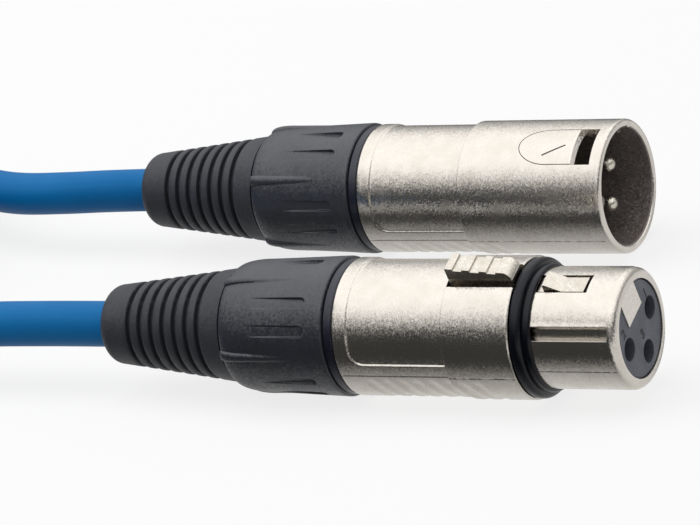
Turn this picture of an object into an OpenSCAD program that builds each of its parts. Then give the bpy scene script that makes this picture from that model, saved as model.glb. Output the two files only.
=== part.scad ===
// Balanced audio cable with a male and a female three-pole connector.
// Both connectors lie side by side, and the spare cable is wound in a tied coil behind them.
// A connector is drawn along +X from the rear end of its boot, with its latch side towards +Z.

/* [Cable] */
// Outer diameter of the jacket
cable_d = 6.3; // [5.6:0.1:6.8]
// Outer diameter of an insulated core
core_d = 1.5; // [1.2:0.1:1.7]
// Diameter of the twisted screen
drain_d = 1.1; // [0.8:0.1:1.5]
// Clearance of the jacket in the boot and in the clamp
cable_gap = 0.15; // [0.1:0.05:0.3]

/* [Boot] */
// Length of the boot outside the nut
boot_len = 21; // [18:0.5:26]
// Diameter at the rear end, before its rounding
boot_rear_d = 10.5; // [9.6:0.1:11.5]
// Diameter at the nut
boot_front_d = 15.7; // [14.6:0.1:16]
// Number of grooves that let the boot bend
groove_count = 7; // [3:1:7]
// Distance from one groove to the next
groove_pitch = 1.95; // [1.5:0.05:2]
// Width of a groove
groove_w = 0.8; // [0.4:0.1:1]
// Depth of a groove
groove_depth = 0.65; // [0.3:0.1:1]
// Plain collar behind the first groove
boot_collar = 4.9; // [3.5:0.1:5.2]

/* [Nut] */
// Length of the nut
nut_len = 16.3; // [15.5:0.1:22]
// Diameter at the front edge
nut_d = 18.8; // [18.6:0.1:19.6]
// Diameter where the shoulder ends
nut_shoulder_d = 17.9; // [17.7:0.1:18.4]
// Length of the rounded shoulder
nut_shoulder = 4; // [3:0.5:6]
// Depth of the rear throat that holds the boot
nut_throat = 2.2; // [1.8:0.1:3]
// Groups of one long flute and two slots
flute_groups = 5; // [3:1:6]
// Length of a long flute
flute_len = 11; // [8:0.5:12]
// Width of a long flute
flute_w = 1.5; // [1:0.1:2]
// Depth of a long flute
flute_depth = 0.45; // [0.3:0.05:0.6]
// Length of a slot
slot_len = 6.2; // [4:0.2:8]
// Width of a slot
slot_w = 1.5; // [1:0.1:2]
// Depth of a slot at its front end
slot_depth = 0.5; // [0.3:0.05:0.6]
// Plain length in front of the slots
slot_margin = 2.75; // [2.25:0.25:6]

/* [Coding ring] */
// Visible length of the ring
ring_len = 1.5; // [0.8:0.1:2]
// Outer diameter of the ring
ring_d = 18.1; // [17.6:0.1:18.4]

/* [Shell] */
// Outer diameter of the front part of both shells
shell_d = 18.9; // [18.8:0.1:19.6]
// Outer diameter of the rear part
rear_d = 18.4; // [18.3:0.1:18.6]
// Bore of the rear part, which takes the insert
bore_d = 14.8; // [14.6:0.1:15]
// Thread diameter of the neck inside the nut
neck_d = 16.3; // [16.2:0.1:16.4]
// Depth of the thread grooves
thread_depth = 0.25; // [0.15:0.05:0.35]
// Pitch of the thread
thread_pitch = 1; // [0.8:0.1:1.5]
// Length of the raised band behind the panel
band_len = 2.1; // [1.5:0.1:3]
// Length of the smooth panel
panel_len = 14; // [13:0.5:16]
// Depth of the panel below the rear part
panel_depth = 0.25; // [0.15:0.05:0.4]
// Height above the axis at which the panel ends
panel_edge = 1.4; // [0.8:0.1:3]
// Corner radius of the panel
panel_round = 2; // [1:0.1:3]
// Number of finger ridges on the underside
ridge_count = 8; // [4:1:9]
// Distance from one finger ridge to the next
ridge_pitch = 2.15; // [1.8:0.05:2.3]
// Depth of the scallops between the ridges
ridge_depth = 0.35; // [0.2:0.05:0.5]

/* [Male front] */
// Length of the front part
male_front_len = 22.4; // [21:0.2:24]
// Bore of the mouth
mouth_d = 16.4; // [16.2:0.1:16.6]
// Depth from the rim to the insert
mouth_depth = 17; // [16:0.5:18]
// Rounding of the outer rim
rim_round = 0.9; // [0.4:0.1:1.1]
// Distance from the rim to the catch window
window_back = 1.7; // [1.4:0.1:2.2]
// Length of the catch window along the shell
window_len = 2.9; // [2.6:0.1:3.6]
// Width of the catch window
window_w = 6.3; // [5:0.1:7]
// Length of the engraved tongue behind the window
tongue_len = 8.6; // [8:0.5:12]
// Width of the engraved line
engrave_w = 0.22; // [0.15:0.01:0.4]
// Depth of the engraved line
engrave_depth = 0.15; // [0.1:0.01:0.3]
// Radius of the key ribs in the mouth
rib_r = 0.75; // [0.5:0.05:0.9]
// Angle of the key ribs from the window
rib_angle = 53; // [50:1:62]

/* [Contacts] */
// Diameter of a male pin
pin_d = 2.36; // [2.2:0.02:2.5]
// Distance of the pin tips behind the rim
pin_recess = 3.2; // [2:0.1:4]
// Diameter of the circle on which the contacts stand
contact_circle_d = 8; // [7.8:0.1:8.6]
// Outer diameter of a female contact
socket_d = 3.1; // [3:0.1:3.3]
// Clearance of a male pin in a female contact
socket_gap = 0.04; // [0.02:0.01:0.1]
// Depth of the bore in a female contact
socket_depth = 15; // [12:0.5:16]
// Distance of the female contacts behind the face
socket_recess = 2.3; // [1:0.1:3]
// Outer diameter of a solder cup
cup_d = 2.9; // [2.7:0.1:3]
// Length of a solder cup behind the insert
cup_len = 4; // [3:0.5:5]

/* [Female front] */
// Length of the front part
female_front_len = 10; // [9:0.2:12]
// Length of the rubber ring
seal_len = 2.6; // [2:0.1:3.4]
// Outer diameter of the rubber ring
seal_d = 18.5; // [18:0.1:18.7]
// Length of the nose
nose_len = 12; // [11.5:0.1:13]
// Diameter of the nose
nose_d = 15.9; // [15.7:0.1:16]
// Bore of the nose
nose_bore_d = 13; // [12.8:0.1:13.2]
// Rounding of the front edge of the nose
nose_round = 1; // [0.5:0.1:1.2]
// Width of the latch channel and of the key that closes it
key_w = 4.7; // [4.5:0.1:4.9]
// Height of the floor of the latch channel above the axis
key_floor = 2.35; // [2.2:0.05:2.6]
// Thickness of the key at the face
key_len = 1.9; // [1.5:0.1:2]
// Width of the key groove along the nose
keyway_w = 1.6; // [1.5:0.1:2]

/* [Latch] */
// Width of the push tab
tab_w = 3; // [2.5:0.1:3.4]
// Height of the rear end of the tab above the shell
tab_rise = 1.7; // [1.2:0.1:2]
// Fall of the tab from its rear end to its front end
tab_fall = 0.55; // [0.3:0.05:0.8]
// Number of ridges across the tab
tab_ridges = 5; // [3:1:7]
// Side clearance of the tab in its window
tab_gap = 0.7; // [0.4:0.05:0.8]
// Width of the catch
catch_w = 2.7; // [2.2:0.1:2.9]
// Height of the catch above the nose
catch_rise = 0.75; // [0.5:0.05:0.9]
// Distance of the catch in front of the rubber ring
catch_back = 1.1; // [0.8:0.1:1.6]
// Length of the ramp of the catch
ramp_len = 2.45; // [2:0.05:3]
// Thickness of the lever
lever_t = 1.4; // [1:0.1:1.6]
// Diameter of the latch pin
hinge_d = 1.2; // [1:0.05:1.3]
// Clearance of the latch pin in the lever
hinge_gap = 0.04; // [0.02:0.01:0.06]
// Wire diameter of the latch spring
spring_wire = 0.4; // [0.3:0.05:0.5]
// Outer diameter of the latch spring
spring_d = 2.6; // [2.2:0.1:3]
// Turns of the latch spring
spring_turns = 4; // [3:1:5]

/* [Layout] */
// Distance between the axes of the two connectors
spacing = 50; // [44:1:60]
// How far the female connector lies ahead of the male one
stagger = 22; // [14:1:26]
// Roll of the male connector towards the front
male_roll = 30.5; // [0:1:45]
// Roll of the female connector towards the front
female_roll = 20; // [0:1:45]
// How far the male nut is screwed round
male_nut_turn = 30; // [0:1:71]
// How far the female nut is screwed round
female_nut_turn = 4; // [0:1:71]

/* [Coil] */
// Distance from one turn to the next, side by side and layer to layer
turn_pitch = 6.8; // [6.75:0.05:7.2]
// Width of the hook-and-loop tie
tie_w = 12; // [8:1:14]
// Thickness of the tie
tie_t = 1; // [0.6:0.1:1.2]

/* [Hidden] */
$fn = 72;

// Stations along a connector, from the rear end of the boot
s_nut = boot_len;
s_ring = s_nut + nut_len;
s_shell = s_ring + ring_len;
s_panel = s_shell + band_len;
s_front = s_panel + panel_len;
male_len = s_front + male_front_len;
s_seal = s_front + female_front_len;
s_nose = s_seal + seal_len;
female_len = s_nose + nose_len;

// Fits inside the nut
fit = 0.05;
cable_r = cable_d / 2;
boot_lip = 0.05;
boot_round = boot_rear_d / 2 - cable_r - cable_gap - boot_lip;
throat_r = boot_front_d / 2 + 0.1;
pocket_r = neck_d / 2 + 0.2;
flange_t = 2;
s_pocket = s_nut + nut_throat;
s_neck = s_pocket + flange_t + 0.6;
boot_end = s_pocket + flange_t;
clamp_len = 11;
s_clamp = boot_end + 0.3;
s_jacket = s_clamp + clamp_len + 1;

// How far the front part of a shell reaches into the rear part
joint_lap = 1;
ridge_lean = 14;
tongue_taper = 1.5;

// Inserts and contacts
contact_r = contact_circle_d / 2;
insert_r = bore_d / 2 - fit;
s_insert = s_jacket + 11.5;
s_mouth = male_len - mouth_depth;
s_mouth_floor = s_mouth - 0.1;
lip_t = 1;
face_gap = 0.2;
tip_len = 1.1;
s_step = s_seal - 0.8;
cup_bore_d = cup_d - 1;
strip_w = 2.4;
CONTACT_ANGLES = [180, 0, 270];

// Latch, in the plane y = 0 of the female connector
tab_start = s_front + 0.65;
tab_end = s_seal - 0.15;
tab_top = shell_d / 2 + tab_rise;
nose_r = nose_d / 2;
lever_top = nose_r - 0.35;
lever_low = lever_top - lever_t;
catch_start = s_nose + catch_back;
tip_end = s_nose + 6.7;
catch_window_end = tip_end + 0.6;
eye_r = hinge_d / 2 + 0.45;
hinge_s = female_len - key_len - eye_r - 0.2;
hinge_h = nose_bore_d / 2 - 1.6;
latch_pin_len = key_w + 1;
tab_flat = 3;
spring_s = tab_start + 1.9;
tab_under = lever_low + 0.1;

// Layout
axis_h = shell_d / 2;
total_len = stagger + female_len;
male_x = -total_len / 2;
female_x = male_x + stagger;
male_y = spacing / 2;
female_y = -spacing / 2;

// The coil winds in for coil_half turns and out again for as many, one layer up
COIL_CENTRE = [-124, 0];
coil_outer_r = 43;
coil_half = 3.25;
coil_low = tie_t + cable_r;
coil_straight = cable_d + 0.7;
coil_steps = 24;
coil_sides = 6;

// Route of the female lead between the boot and the coil
FEMALE_ROUTE = [
    [-41, -25, 9.4], [-52, -25, 9.1], [-62, -25.8, 8.2], [-71, -28, 7],
    [-80, -31.8, 5.8], [-89, -36.2, 4.9], [-98, -40, 4.4], [-107, -42.4, 4.2]
];
// Route of the male lead between the boot and the coil
MALE_ROUTE = [
    [-59, 25, 9.3], [-67, 25.1, 9], [-75, 25.8, 8.7], [-82, 28, 8.6],
    [-89, 31.8, 8.8], [-96, 36.2, 9.3], [-103, 40, 10], [-110, 42.4, 10.7]
];

// Points of an arc about [cs, cr] from angle a0 to a1, as station and radius
function arc(cs, cr, rs, rr, a0, a1, n = 6) =
    [for (i = [0:n]) let (a = a0 + (a1 - a0) * i / n) [cs + rs * cos(a), cr + rr * sin(a)]];

// Unit vector
function unit(v) = v / norm(v);

// Direction of a path at point i
function heading(path, i) =
    unit(path[min(i + 1, len(path) - 1)] - path[max(i - 1, 0)]);

// Corners of a ring of n sides about point i of a path, square to the path
function ring_at(path, i, r, n, square = undef) =
    let (t = is_undef(square) ? heading(path, i) : square)
    let (side = unit(cross(t, [0, 0, 1])))
    let (up = cross(side, t))
    [for (k = [0:n - 1]) path[i] + r * (cos(k * 360 / n) * side + sin(k * 360 / n) * up)];

// A tube of n sides swept along a path, closed by flat ends
module tube(path, r, n, first = undef, last = undef) {
    rows = len(path);
    points = [for (i = [0:rows - 1])
        each ring_at(path, i, r, n, i == 0 ? first : i == rows - 1 ? last : undef)];
    walls = [for (i = [0:rows - 2], k = [0:n - 1]) let (m = (k + 1) % n)
        each [[i * n + k, i * n + m, (i + 1) * n + m], [i * n + k, (i + 1) * n + m, (i + 1) * n + k]]];
    starts = [[for (k = [n - 1:-1:0]) k]];
    ends = [[for (k = [0:n - 1]) (rows - 1) * n + k]];
    polyhedron(points, concat(walls, starts, ends), 4);
}

// A solid of revolution about the X axis from a profile of stations and radii
module turned(profile) {
    rotate([0, 90, 0])
        rotate_extrude()
            polygon([for (p = profile) [p[1], p[0]]]);
}

// A rod along the X axis
module rod(r, s0, s1) {
    translate([s0, 0, 0])
        rotate([0, 90, 0])
            cylinder(r = r, h = s1 - s0);
}

// A block centred on the plane y = 0
module block(s0, s1, w, z0, z1) {
    translate([s0, -w / 2, z0])
        cube([s1 - s0, w, z1 - z0]);
}

// A side profile in the plane y = 0, given a width
module plate(profile, w) {
    rotate([90, 0, 0])
        linear_extrude(w, center = true)
            polygon(profile);
}

// Puts the children where contact i stands
module at_contact(i) {
    rotate([CONTACT_ANGLES[i], 0, 0])
        translate([0, contact_r, 0])
            children();
}

module place_male() {
    translate([male_x, male_y, axis_h])
        rotate([male_roll, 0, 0])
            children();
}

module place_female() {
    translate([female_x, female_y, axis_h])
        rotate([female_roll, 0, 0])
            children();
}

// ---- rear end, the same on both connectors ----

// Tapered rubber boot with bending grooves and a flange that the nut holds
module boot() {
    hole = cable_r + cable_gap;
    rear = boot_rear_d / 2;
    front = boot_front_d / 2;
    slope = (front - rear) / boot_len;
    grooves = [for (i = [0:groove_count - 1])
        let (s = boot_collar + i * groove_pitch)
        let (r = rear + slope * s)
        each [[s, r], [s + 0.1, r - groove_depth], [s + groove_w - 0.1, r - groove_depth],
            [s + groove_w, r + slope * groove_w]]];
    color([0.13, 0.14, 0.16])
        turned(concat(
            [[0, hole]],
            arc(boot_round, rear + slope * boot_round - boot_round, boot_round, boot_round, 180, 90),
            grooves,
            [[s_nut - 0.4, front], [s_nut - 0.3, front - 0.3], [s_nut, front - 0.3], [s_nut, front]],
            [[s_pocket + 0.1, front], [s_pocket + 0.1, pocket_r - 0.1], [boot_end, pocket_r - 0.1]],
            [[boot_end, hole]]
        ));
}

// One slot, deepest at its round front end
module slot_cutter() {
    end = s_ring - slot_margin - slot_w / 2;
    tilt = atan(slot_depth / slot_len);
    surface = nut_shoulder_d / 2 + (nut_d - nut_shoulder_d) / 2
        * (end - s_nut - nut_shoulder) / (nut_len - nut_shoulder);
    translate([end, 0, surface - slot_depth])
        rotate([0, tilt, 0])
            linear_extrude(3) {
                circle(d = slot_w);
                translate([-slot_len * 1.3, -slot_w / 2])
                    square([slot_len * 1.3, slot_w]);
            }
}

// One long flute, pointed at both ends, that runs out of the shoulder
module flute_cutter() {
    tilt = atan(1.4 * flute_depth / flute_len);
    start = s_nut + flute_len + 1;
    surface = nut_shoulder_d / 2 + (nut_d - nut_shoulder_d) / 2
        * (start - s_nut - nut_shoulder) / (nut_len - nut_shoulder);
    flare = flute_w / 2 / flute_depth;
    translate([start, 0, surface])
        rotate([0, -90 - tilt, 0])
            translate([0, 0, -2])
                linear_extrude(flute_len + 6)
                    polygon([[0, -0.15], [0, 0.15], [2, 2 * flare], [2, -2 * flare]]);
}

// Screw-on nut with a rounded shoulder and a ring of flutes and slots
module nut() {
    step = 120 / flute_groups;
    shoulder_r = nut_shoulder_d / 2;
    color([0.15, 0.16, 0.18])
        difference() {
            turned(concat(
                [[s_nut, throat_r]],
                arc(s_nut + nut_shoulder, throat_r + 0.12, nut_shoulder,
                    shoulder_r - throat_r - 0.12, 180, 90, 8),
                [[s_ring - 0.3, nut_d / 2], [s_ring, nut_d / 2 - 0.3]],
                [[s_ring, pocket_r], [s_pocket, pocket_r], [s_pocket, throat_r]]
            ));
            for (i = [0:flute_groups - 1])
                rotate([i * 360 / flute_groups, 0, 0]) {
                    flute_cutter();
                    rotate([step, 0, 0])
                        slot_cutter();
                    rotate([2 * step, 0, 0])
                        slot_cutter();
                }
        }
}

// Coding ring between the nut and the shell
module coding_ring() {
    color([0.09, 0.1, 0.16])
        turned([
            [s_ring, neck_d / 2], [s_ring, ring_d / 2 - 0.25], [s_ring + 0.25, ring_d / 2],
            [s_shell - 0.25, ring_d / 2], [s_shell, ring_d / 2 - 0.25], [s_shell, neck_d / 2]
        ]);
}

// Split clamp that grips the jacket inside the neck
module clamp() {
    r = bore_d / 2 - fit;
    s_end = s_clamp + clamp_len;
    color([0.75, 0.75, 0.72])
        difference() {
            turned([
                [s_clamp, cable_r + cable_gap], [s_clamp, r - 1.6], [s_clamp + 2.5, r],
                [s_end, r], [s_end, cable_r + cable_gap]
            ]);
            for (a = [0, 60, 120])
                rotate([a, 0, 0])
                    block(s_clamp - 1, s_end - 3, 0.8, -r - 1, r + 1);
            turned([
                [s_clamp + 4, r - 0.7], [s_clamp + 4, r + 1], [s_clamp + 5, r + 1],
                [s_clamp + 5, r - 0.7]
            ]);
        }
}

// Jacket inside the connector, up to where it is stripped
module cable_end() {
    color([0.1, 0.4, 0.68])
        rod(cable_r, 0, s_jacket);
}

// One conductor from the stripped jacket to the solder cup of contact i
module core(i, d, r0) {
    s_cup = s_insert - cup_len;
    path = [
        [s_jacket, r0, 0], [s_jacket + 1.2, r0, 0], [s_jacket + 2.6, r0 + 0.4, 0],
        [s_jacket + 4.4, (r0 + contact_r) / 2, 0], [s_cup - 1.2, contact_r - 0.3, 0],
        [s_cup - 0.3, contact_r, 0], [s_cup + 2.6, contact_r, 0]
    ];
    rotate([CONTACT_ANGLES[i], 0, 0])
        tube(path, d / 2, 8, [1, 0, 0], [1, 0, 0]);
}

// Thin bowed strip that earths the shell
module ground_spring(s0, s1) {
    low = insert_r - 0.65;
    high = sqrt(pow(bore_d / 2, 2) - pow(strip_w / 2, 2)) - 0.02;
    mid = (s0 + s1) / 2;
    color([0.8, 0.78, 0.68])
        mirror([0, 0, 1])
            plate([
                [s0, low], [s0 + 2, low], [mid, high - 0.35], [s1 - 2, low], [s1, low],
                [s1, low + 0.3], [s1 - 2, low + 0.3], [mid, high], [s0 + 2, low + 0.3], [s0, low + 0.3]
            ], strip_w);
}

// Pocket in an insert for the ground spring
module spring_pocket(s0, s1) {
    mirror([0, 0, 1])
        block(s0 - 0.1, s1 + 0.1, strip_w + 0.2, insert_r - 0.65, insert_r + 1);
}

// Solder cup behind an insert, open towards the axis
module solder_cup() {
    difference() {
        rod(cup_d / 2, s_insert - cup_len, s_insert);
        rod(cup_bore_d / 2, s_insert - cup_len - 1, s_insert - cup_len + 3);
        translate([0, -cup_d, 0])
            block(s_insert - cup_len - 1, s_insert - cup_len + 1.6, cup_d * 1.7, -cup_d, cup_d);
    }
}

// ---- shells ----

// Grooves of the neck thread, as a chain of profile points from s0 to s1
function thread(s0, s1, r) =
    let (n = floor((s1 - s0) / thread_pitch))
    [for (i = [0:n - 1]) let (s = s0 + i * thread_pitch)
        each [[s, r - thread_depth], [s + thread_pitch / 2, r]]];

// Outside of the rear part that both shells share, from the neck to the front part
module shell_rear() {
    r = rear_d / 2;
    difference() {
        turned(concat(
            [[s_neck, 0]],
            thread(s_neck, s_ring - 1, neck_d / 2 - 0.03),
            [[s_ring - 1, neck_d / 2], [s_shell, neck_d / 2]],
            [[s_shell, r - 0.2], [s_shell + 0.2, r]],
            [[s_front, r], [s_front, 0]]
        ));
        panel_cutter();
        intersection() {
            finger_ridges();
            block(s_panel, s_front + 1, 3 * r, -2 * r, panel_edge);
        }
    }
}

// Smooth panel on the latch side, with round lower corners at the rear
module panel_cutter() {
    r = rear_d / 2;
    difference() {
        rotate([90, 0, 0])
            linear_extrude(3 * r, center = true) {
                translate([s_panel + panel_round, panel_edge + panel_round])
                    circle(panel_round);
                translate([s_panel + panel_round, panel_edge])
                    square([panel_len, r]);
                translate([s_panel, panel_edge + panel_round])
                    square([panel_len, r]);
            }
        rod(r - panel_depth, s_panel - 1, s_front + 3);
        translate([s_front, -2 * r, -r])
            cube([panel_len, 4 * r, 3 * r]);
    }
}

// Slanted crescent scallops on the underside, deepest at the bottom
module finger_ridges() {
    cut_r = 1.4;
    for (i = [0:ridge_count - 1])
        translate([s_panel + 1.2 + i * ridge_pitch, 0, 0])
            rotate([0, 90 - ridge_lean, 0])
                rotate_extrude()
                    translate([rear_d / 2 / cos(ridge_lean) + cut_r - ridge_depth, 0])
                        circle(cut_r, $fn = 24);
}

// Male shell with the mouth, the catch window and two key ribs
module male_shell() {
    r = shell_d / 2;
    window_end = male_len - window_back;
    color([0.76, 0.74, 0.7])
        place_male() {
            difference() {
                union() {
                    shell_rear();
                    turned(concat(
                        [[s_front - joint_lap, 0], [s_front - joint_lap, bore_d / 2 + joint_lap],
                            [s_front, rear_d / 2 - panel_depth], [s_front + 0.25, r]],
                        arc(male_len - rim_round, r - rim_round, rim_round, rim_round, 90, 0),
                        [[male_len, 0]]
                    ));
                }
                rod(bore_d / 2, s_neck - 1, s_mouth - lip_t);
                rod(bore_d / 2 - 0.5, s_mouth - lip_t - 1, s_mouth + 1);
                turned([
                    [s_mouth, 0], [s_mouth, mouth_d / 2], [male_len - 0.3, mouth_d / 2],
                    [male_len + 0.1, mouth_d / 2 + 0.4], [male_len + 0.1, 0]
                ]);
                block(window_end - window_len, window_end, window_w, 0, r + 1);
                tongue_groove(window_end - window_len);
            }
            for (side = [-1, 1])
                rotate([side * rib_angle, 0, 0])
                    intersection() {
                        translate([0, 0, mouth_d / 2])
                            rod(rib_r, s_mouth + 4, male_len - 0.15);
                        rod(mouth_d / 2 + 0.3, s_mouth, male_len);
                    }
        }
}

// Engraved outline of a tongue that ends at the window
module tongue_groove(s_window) {
    r = shell_d / 2;
    difference() {
        linear_extrude(r + 1)
            difference() {
                tongue_outline(s_window, 0);
                tongue_outline(s_window + 1, engrave_w);
            }
        rod(r - engrave_depth, s_window - tongue_len - 2, s_window + 2);
        translate([s_window, -r, 0])
            cube([3, 2 * r, 2 * r]);
    }
}

// Flat outline of the tongue up to station s_end, set in all round
module tongue_outline(s_end, inset) {
    half = window_w / 2 - inset;
    reach = window_w / 2 * tongue_taper - inset;
    s_round = male_len - window_back - window_len - tongue_len + reach + inset;
    translate([s_round, 0])
        scale([reach / half, 1])
            circle(half);
    translate([s_round, -half])
        square([s_end - s_round, 2 * half]);
}

// Female shell with the tab window, the nose, the catch window and the key
module female_shell() {
    r = shell_d / 2;
    window_w_tab = tab_w + 2 * tab_gap;
    color([0.76, 0.74, 0.7])
        place_female() {
            difference() {
                union() {
                    shell_rear();
                    turned(concat(
                        [[s_front - joint_lap, 0], [s_front - joint_lap, bore_d / 2 + joint_lap],
                            [s_front, rear_d / 2 - panel_depth], [s_front + 0.25, r]],
                        [[s_seal - 0.2, r], [s_seal, r - 0.2], [s_seal, nose_r]],
                        arc(female_len - nose_round, nose_r - nose_round, nose_round, nose_round, 90, 0),
                        [[female_len, 0]]
                    ));
                }
                rod(bore_d / 2, s_neck - 1, s_step);
                rod(nose_bore_d / 2, s_step - 1, female_len + 1);
                block(s_front, s_seal, window_w_tab, 0, r + 3);
                block(s_seal - 1, catch_window_end, catch_w + 0.6, 0, r + 1);
                nose_keyways();
            }
            intersection() {
                block(female_len - key_len, female_len, key_w, key_floor, nose_r);
                rod(nose_bore_d / 2 + 0.1, s_nose, female_len);
            }
        }
}

// Two shallow grooves along the nose that pass the key ribs
module nose_keyways() {
    depth = rib_r - (mouth_d - nose_d) / 2 + 0.15;
    for (side = [-1, 1])
        rotate([side * rib_angle, 0, 0])
            block(s_nose, female_len + 1, keyway_w, nose_r - depth, nose_r + 1);
}

// ---- inserts and contacts ----

// Insulator that carries the pins
module male_insert() {
    s0 = s_insert;
    s1 = s_mouth - lip_t;
    color([0.12, 0.13, 0.15])
        place_male()
            difference() {
                turned([
                    [s0, 0], [s0, insert_r], [s1, insert_r], [s1, bore_d / 2 - 0.5 - fit],
                    [s_mouth_floor, bore_d / 2 - 0.5 - fit], [s_mouth_floor, 0]
                ]);
                for (i = [0:2])
                    at_contact(i)
                        rod(cup_d / 2, s0 - 1, s_mouth + 1);
                spring_pocket(s0 + 1, s1 - 1);
            }
}

// Pin i with its round tip, the thicker shank in the insulator and the solder cup
module male_contact(i) {
    tip = male_len - pin_recess;
    r = pin_d / 2;
    color([0.85, 0.84, 0.8])
        place_male()
            at_contact(i) {
                turned(concat(
                    [[s_insert, 0], [s_insert, cup_d / 2]],
                    [[s_mouth_floor, cup_d / 2], [s_mouth_floor, r]],
                    arc(tip - tip_len, 0, tip_len, r, 90, 0)
                ));
                solder_cup();
            }
}

// Insulator that carries the sockets, with a channel for the latch
module female_insert() {
    r = nose_bore_d / 2 - fit;
    face = female_len - face_gap;
    color([0.25, 0.27, 0.32])
        place_female()
            difference() {
                turned([
                    [s_insert, 0], [s_insert, insert_r], [s_step, insert_r], [s_step, r],
                    [face - 0.2, r], [face, r - 0.2], [face, 0]
                ]);
                block(s_insert - 1, female_len + 1, key_w + 0.1, key_floor - fit, nose_r + 2);
                for (i = [0:2])
                    at_contact(i)
                        rod(socket_d / 2, s_insert - 1, female_len + 1);
                translate([hinge_s, 0, hinge_h])
                    rotate([90, 0, 0])
                        cylinder(d = hinge_d, h = latch_pin_len, center = true);
                spring_pocket(s_insert + 1, s_step - 2);
            }
}

// Socket i with its bore and its solder cup
module female_contact(i) {
    mouth = female_len - face_gap - socket_recess;
    bore_r = pin_d / 2 + socket_gap;
    color([0.8, 0.75, 0.55])
        place_female()
            at_contact(i) {
                difference() {
                    rod(socket_d / 2, s_insert, mouth);
                    rod(bore_r, mouth - socket_depth, mouth + 1);
                    block(mouth - 7, mouth + 1, 0.3, 0, socket_d);
                }
                solder_cup();
            }
}

// ---- latch ----

// Top line of the tab: a row of ridges on a slope
function tab_line() =
    let (run = tab_end - tab_flat - tab_start)
    let (pitch = run / tab_ridges)
    [for (i = [0:tab_ridges - 1])
        let (s = tab_start + i * pitch)
        let (h = tab_top - tab_fall * i / tab_ridges)
        each [[s, h], [s + pitch * 0.62, h - 0.05], [s + pitch * 0.86, h - 0.32]]];

// One-piece lever: push tab, bar under the rubber ring, catch and hinge eye
module latch_lever() {
    front_h = tab_top - tab_fall;
    catch_h = nose_r + catch_rise;
    tip_h = nose_r - 0.3;
    color([0.8, 0.78, 0.74])
        place_female()
            difference() {
                union() {
                    plate(concat(
                        [[tab_start, tab_under]],
                        tab_line(),
                        [[tab_end - tab_flat, front_h], [tab_end - 0.9, front_h - 0.1]],
                        [[tab_end - 0.35, front_h - 0.35], [tab_end, front_h - 0.9], [tab_end, tab_under]]
                    ), tab_w);
                    plate([
                        [tab_start + 1, tab_under], [tab_end - 0.5, lever_top],
                        [catch_start, lever_top], [catch_start, catch_h],
                        [catch_start + 0.3, catch_h], [catch_start + ramp_len, tip_h],
                        [tip_end, tip_h], [tip_end, hinge_h + 0.4], [hinge_s, hinge_h + 0.4],
                        [hinge_s, hinge_h - eye_r + 0.1], [tip_end - 2, hinge_h - eye_r + 0.1],
                        [catch_start, lever_low], [tab_end - 0.5, lever_low]
                    ], catch_w);
                    translate([hinge_s, 0, hinge_h])
                        rotate([90, 0, 0])
                            cylinder(r = eye_r, h = catch_w, center = true);
                }
                translate([hinge_s, 0, hinge_h])
                    rotate([90, 0, 0])
                        cylinder(r = hinge_d / 2 + hinge_gap, h = 2 * catch_w, center = true);
            }
}

// Pin on which the lever turns, held by the insert
module latch_pin() {
    color([0.7, 0.7, 0.7])
        place_female()
            translate([hinge_s, 0, hinge_h])
                rotate([90, 0, 0])
                    cylinder(d = hinge_d, h = latch_pin_len, center = true);
}

// Coil spring under the tab
module latch_spring() {
    low = key_floor + spring_wire / 2 + 0.02;
    high = tab_under - spring_wire / 2 - 0.02;
    r = (spring_d - spring_wire) / 2;
    steps = 8;
    path = [for (i = [0:spring_turns * steps]) let (a = i * 360 / steps)
        [spring_s + r * cos(a), r * sin(a), low + (high - low) * i / (spring_turns * steps)]];
    color([0.7, 0.7, 0.72])
        place_female()
            tube(path, spring_wire / 2, 6);
}

// Black rubber ring around the nose
module female_front_ring() {
    r = seal_d / 2;
    color([0.08, 0.09, 0.13])
        place_female()
            turned(concat(
                [[s_seal, nose_r], [s_seal, r - 0.5]],
                arc(s_seal + 0.75, r - 0.75, 0.75, 0.75, 160, 90, 4),
                arc(s_nose - 1.1, r - 0.75, 0.75, 0.75, 90, 20, 4),
                [[s_nose - 0.3, r - 1], [s_nose, r - 1.15], [s_nose, nose_r]]
            ));
}

// ---- cable outside the connectors ----

// A free stretch of the cable from a boot to the coil, square at both ends
module lead(from, route, to) {
    path = concat([from], route, [to]);
    color([0.1, 0.42, 0.7])
        tube(path, cable_r, 12, [-1, 0, 0], [-1, 0, 0]);
}

// Point on the coil after u turns, clockwise from its front
function coil_point(u) =
    let (in_out = coil_half - abs(u - coil_half))
    let (r = coil_outer_r - turn_pitch * in_out)
    let (climb = min(1, max(0, (u - coil_half + 0.25) / 0.5)))
    let (a = 270 - 360 * u)
    [COIL_CENTRE[0] + r * cos(a), COIL_CENTRE[1] + r * sin(a),
        coil_low + turn_pitch * climb * climb * (3 - 2 * climb)];

coil_turns = 2 * coil_half;
coil_in = COIL_CENTRE[0] + coil_straight;
COIL_START = [coil_in, COIL_CENTRE[1] - coil_outer_r, coil_low];
COIL_END = [coil_in, COIL_CENTRE[1] + coil_outer_r, coil_low + turn_pitch];
COIL_PATH = concat(
    [COIL_START],
    [for (i = [0:coil_turns * coil_steps]) coil_point(i / coil_steps)],
    [COIL_END]
);

// Least gap between turns, measured between points at least half a turn apart
coil_gap = min([for (i = [0:len(COIL_PATH) - 1])
    each [for (j = [i + coil_steps / 2:len(COIL_PATH) - 1]) norm(COIL_PATH[i] - COIL_PATH[j])]]) - cable_d;
coil_length = 2 * PI * (coil_outer_r - turn_pitch * coil_half / 2) * coil_turns;

// The wound part of the cable, one unbroken tube in two layers
module cable_coil() {
    echo(least_gap_between_turns = coil_gap, length_in_coil = coil_length);
    color([0.1, 0.42, 0.7])
        tube(COIL_PATH, cable_r, coil_sides, [-1, 0, 0], [1, 0, 0]);
}

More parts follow.
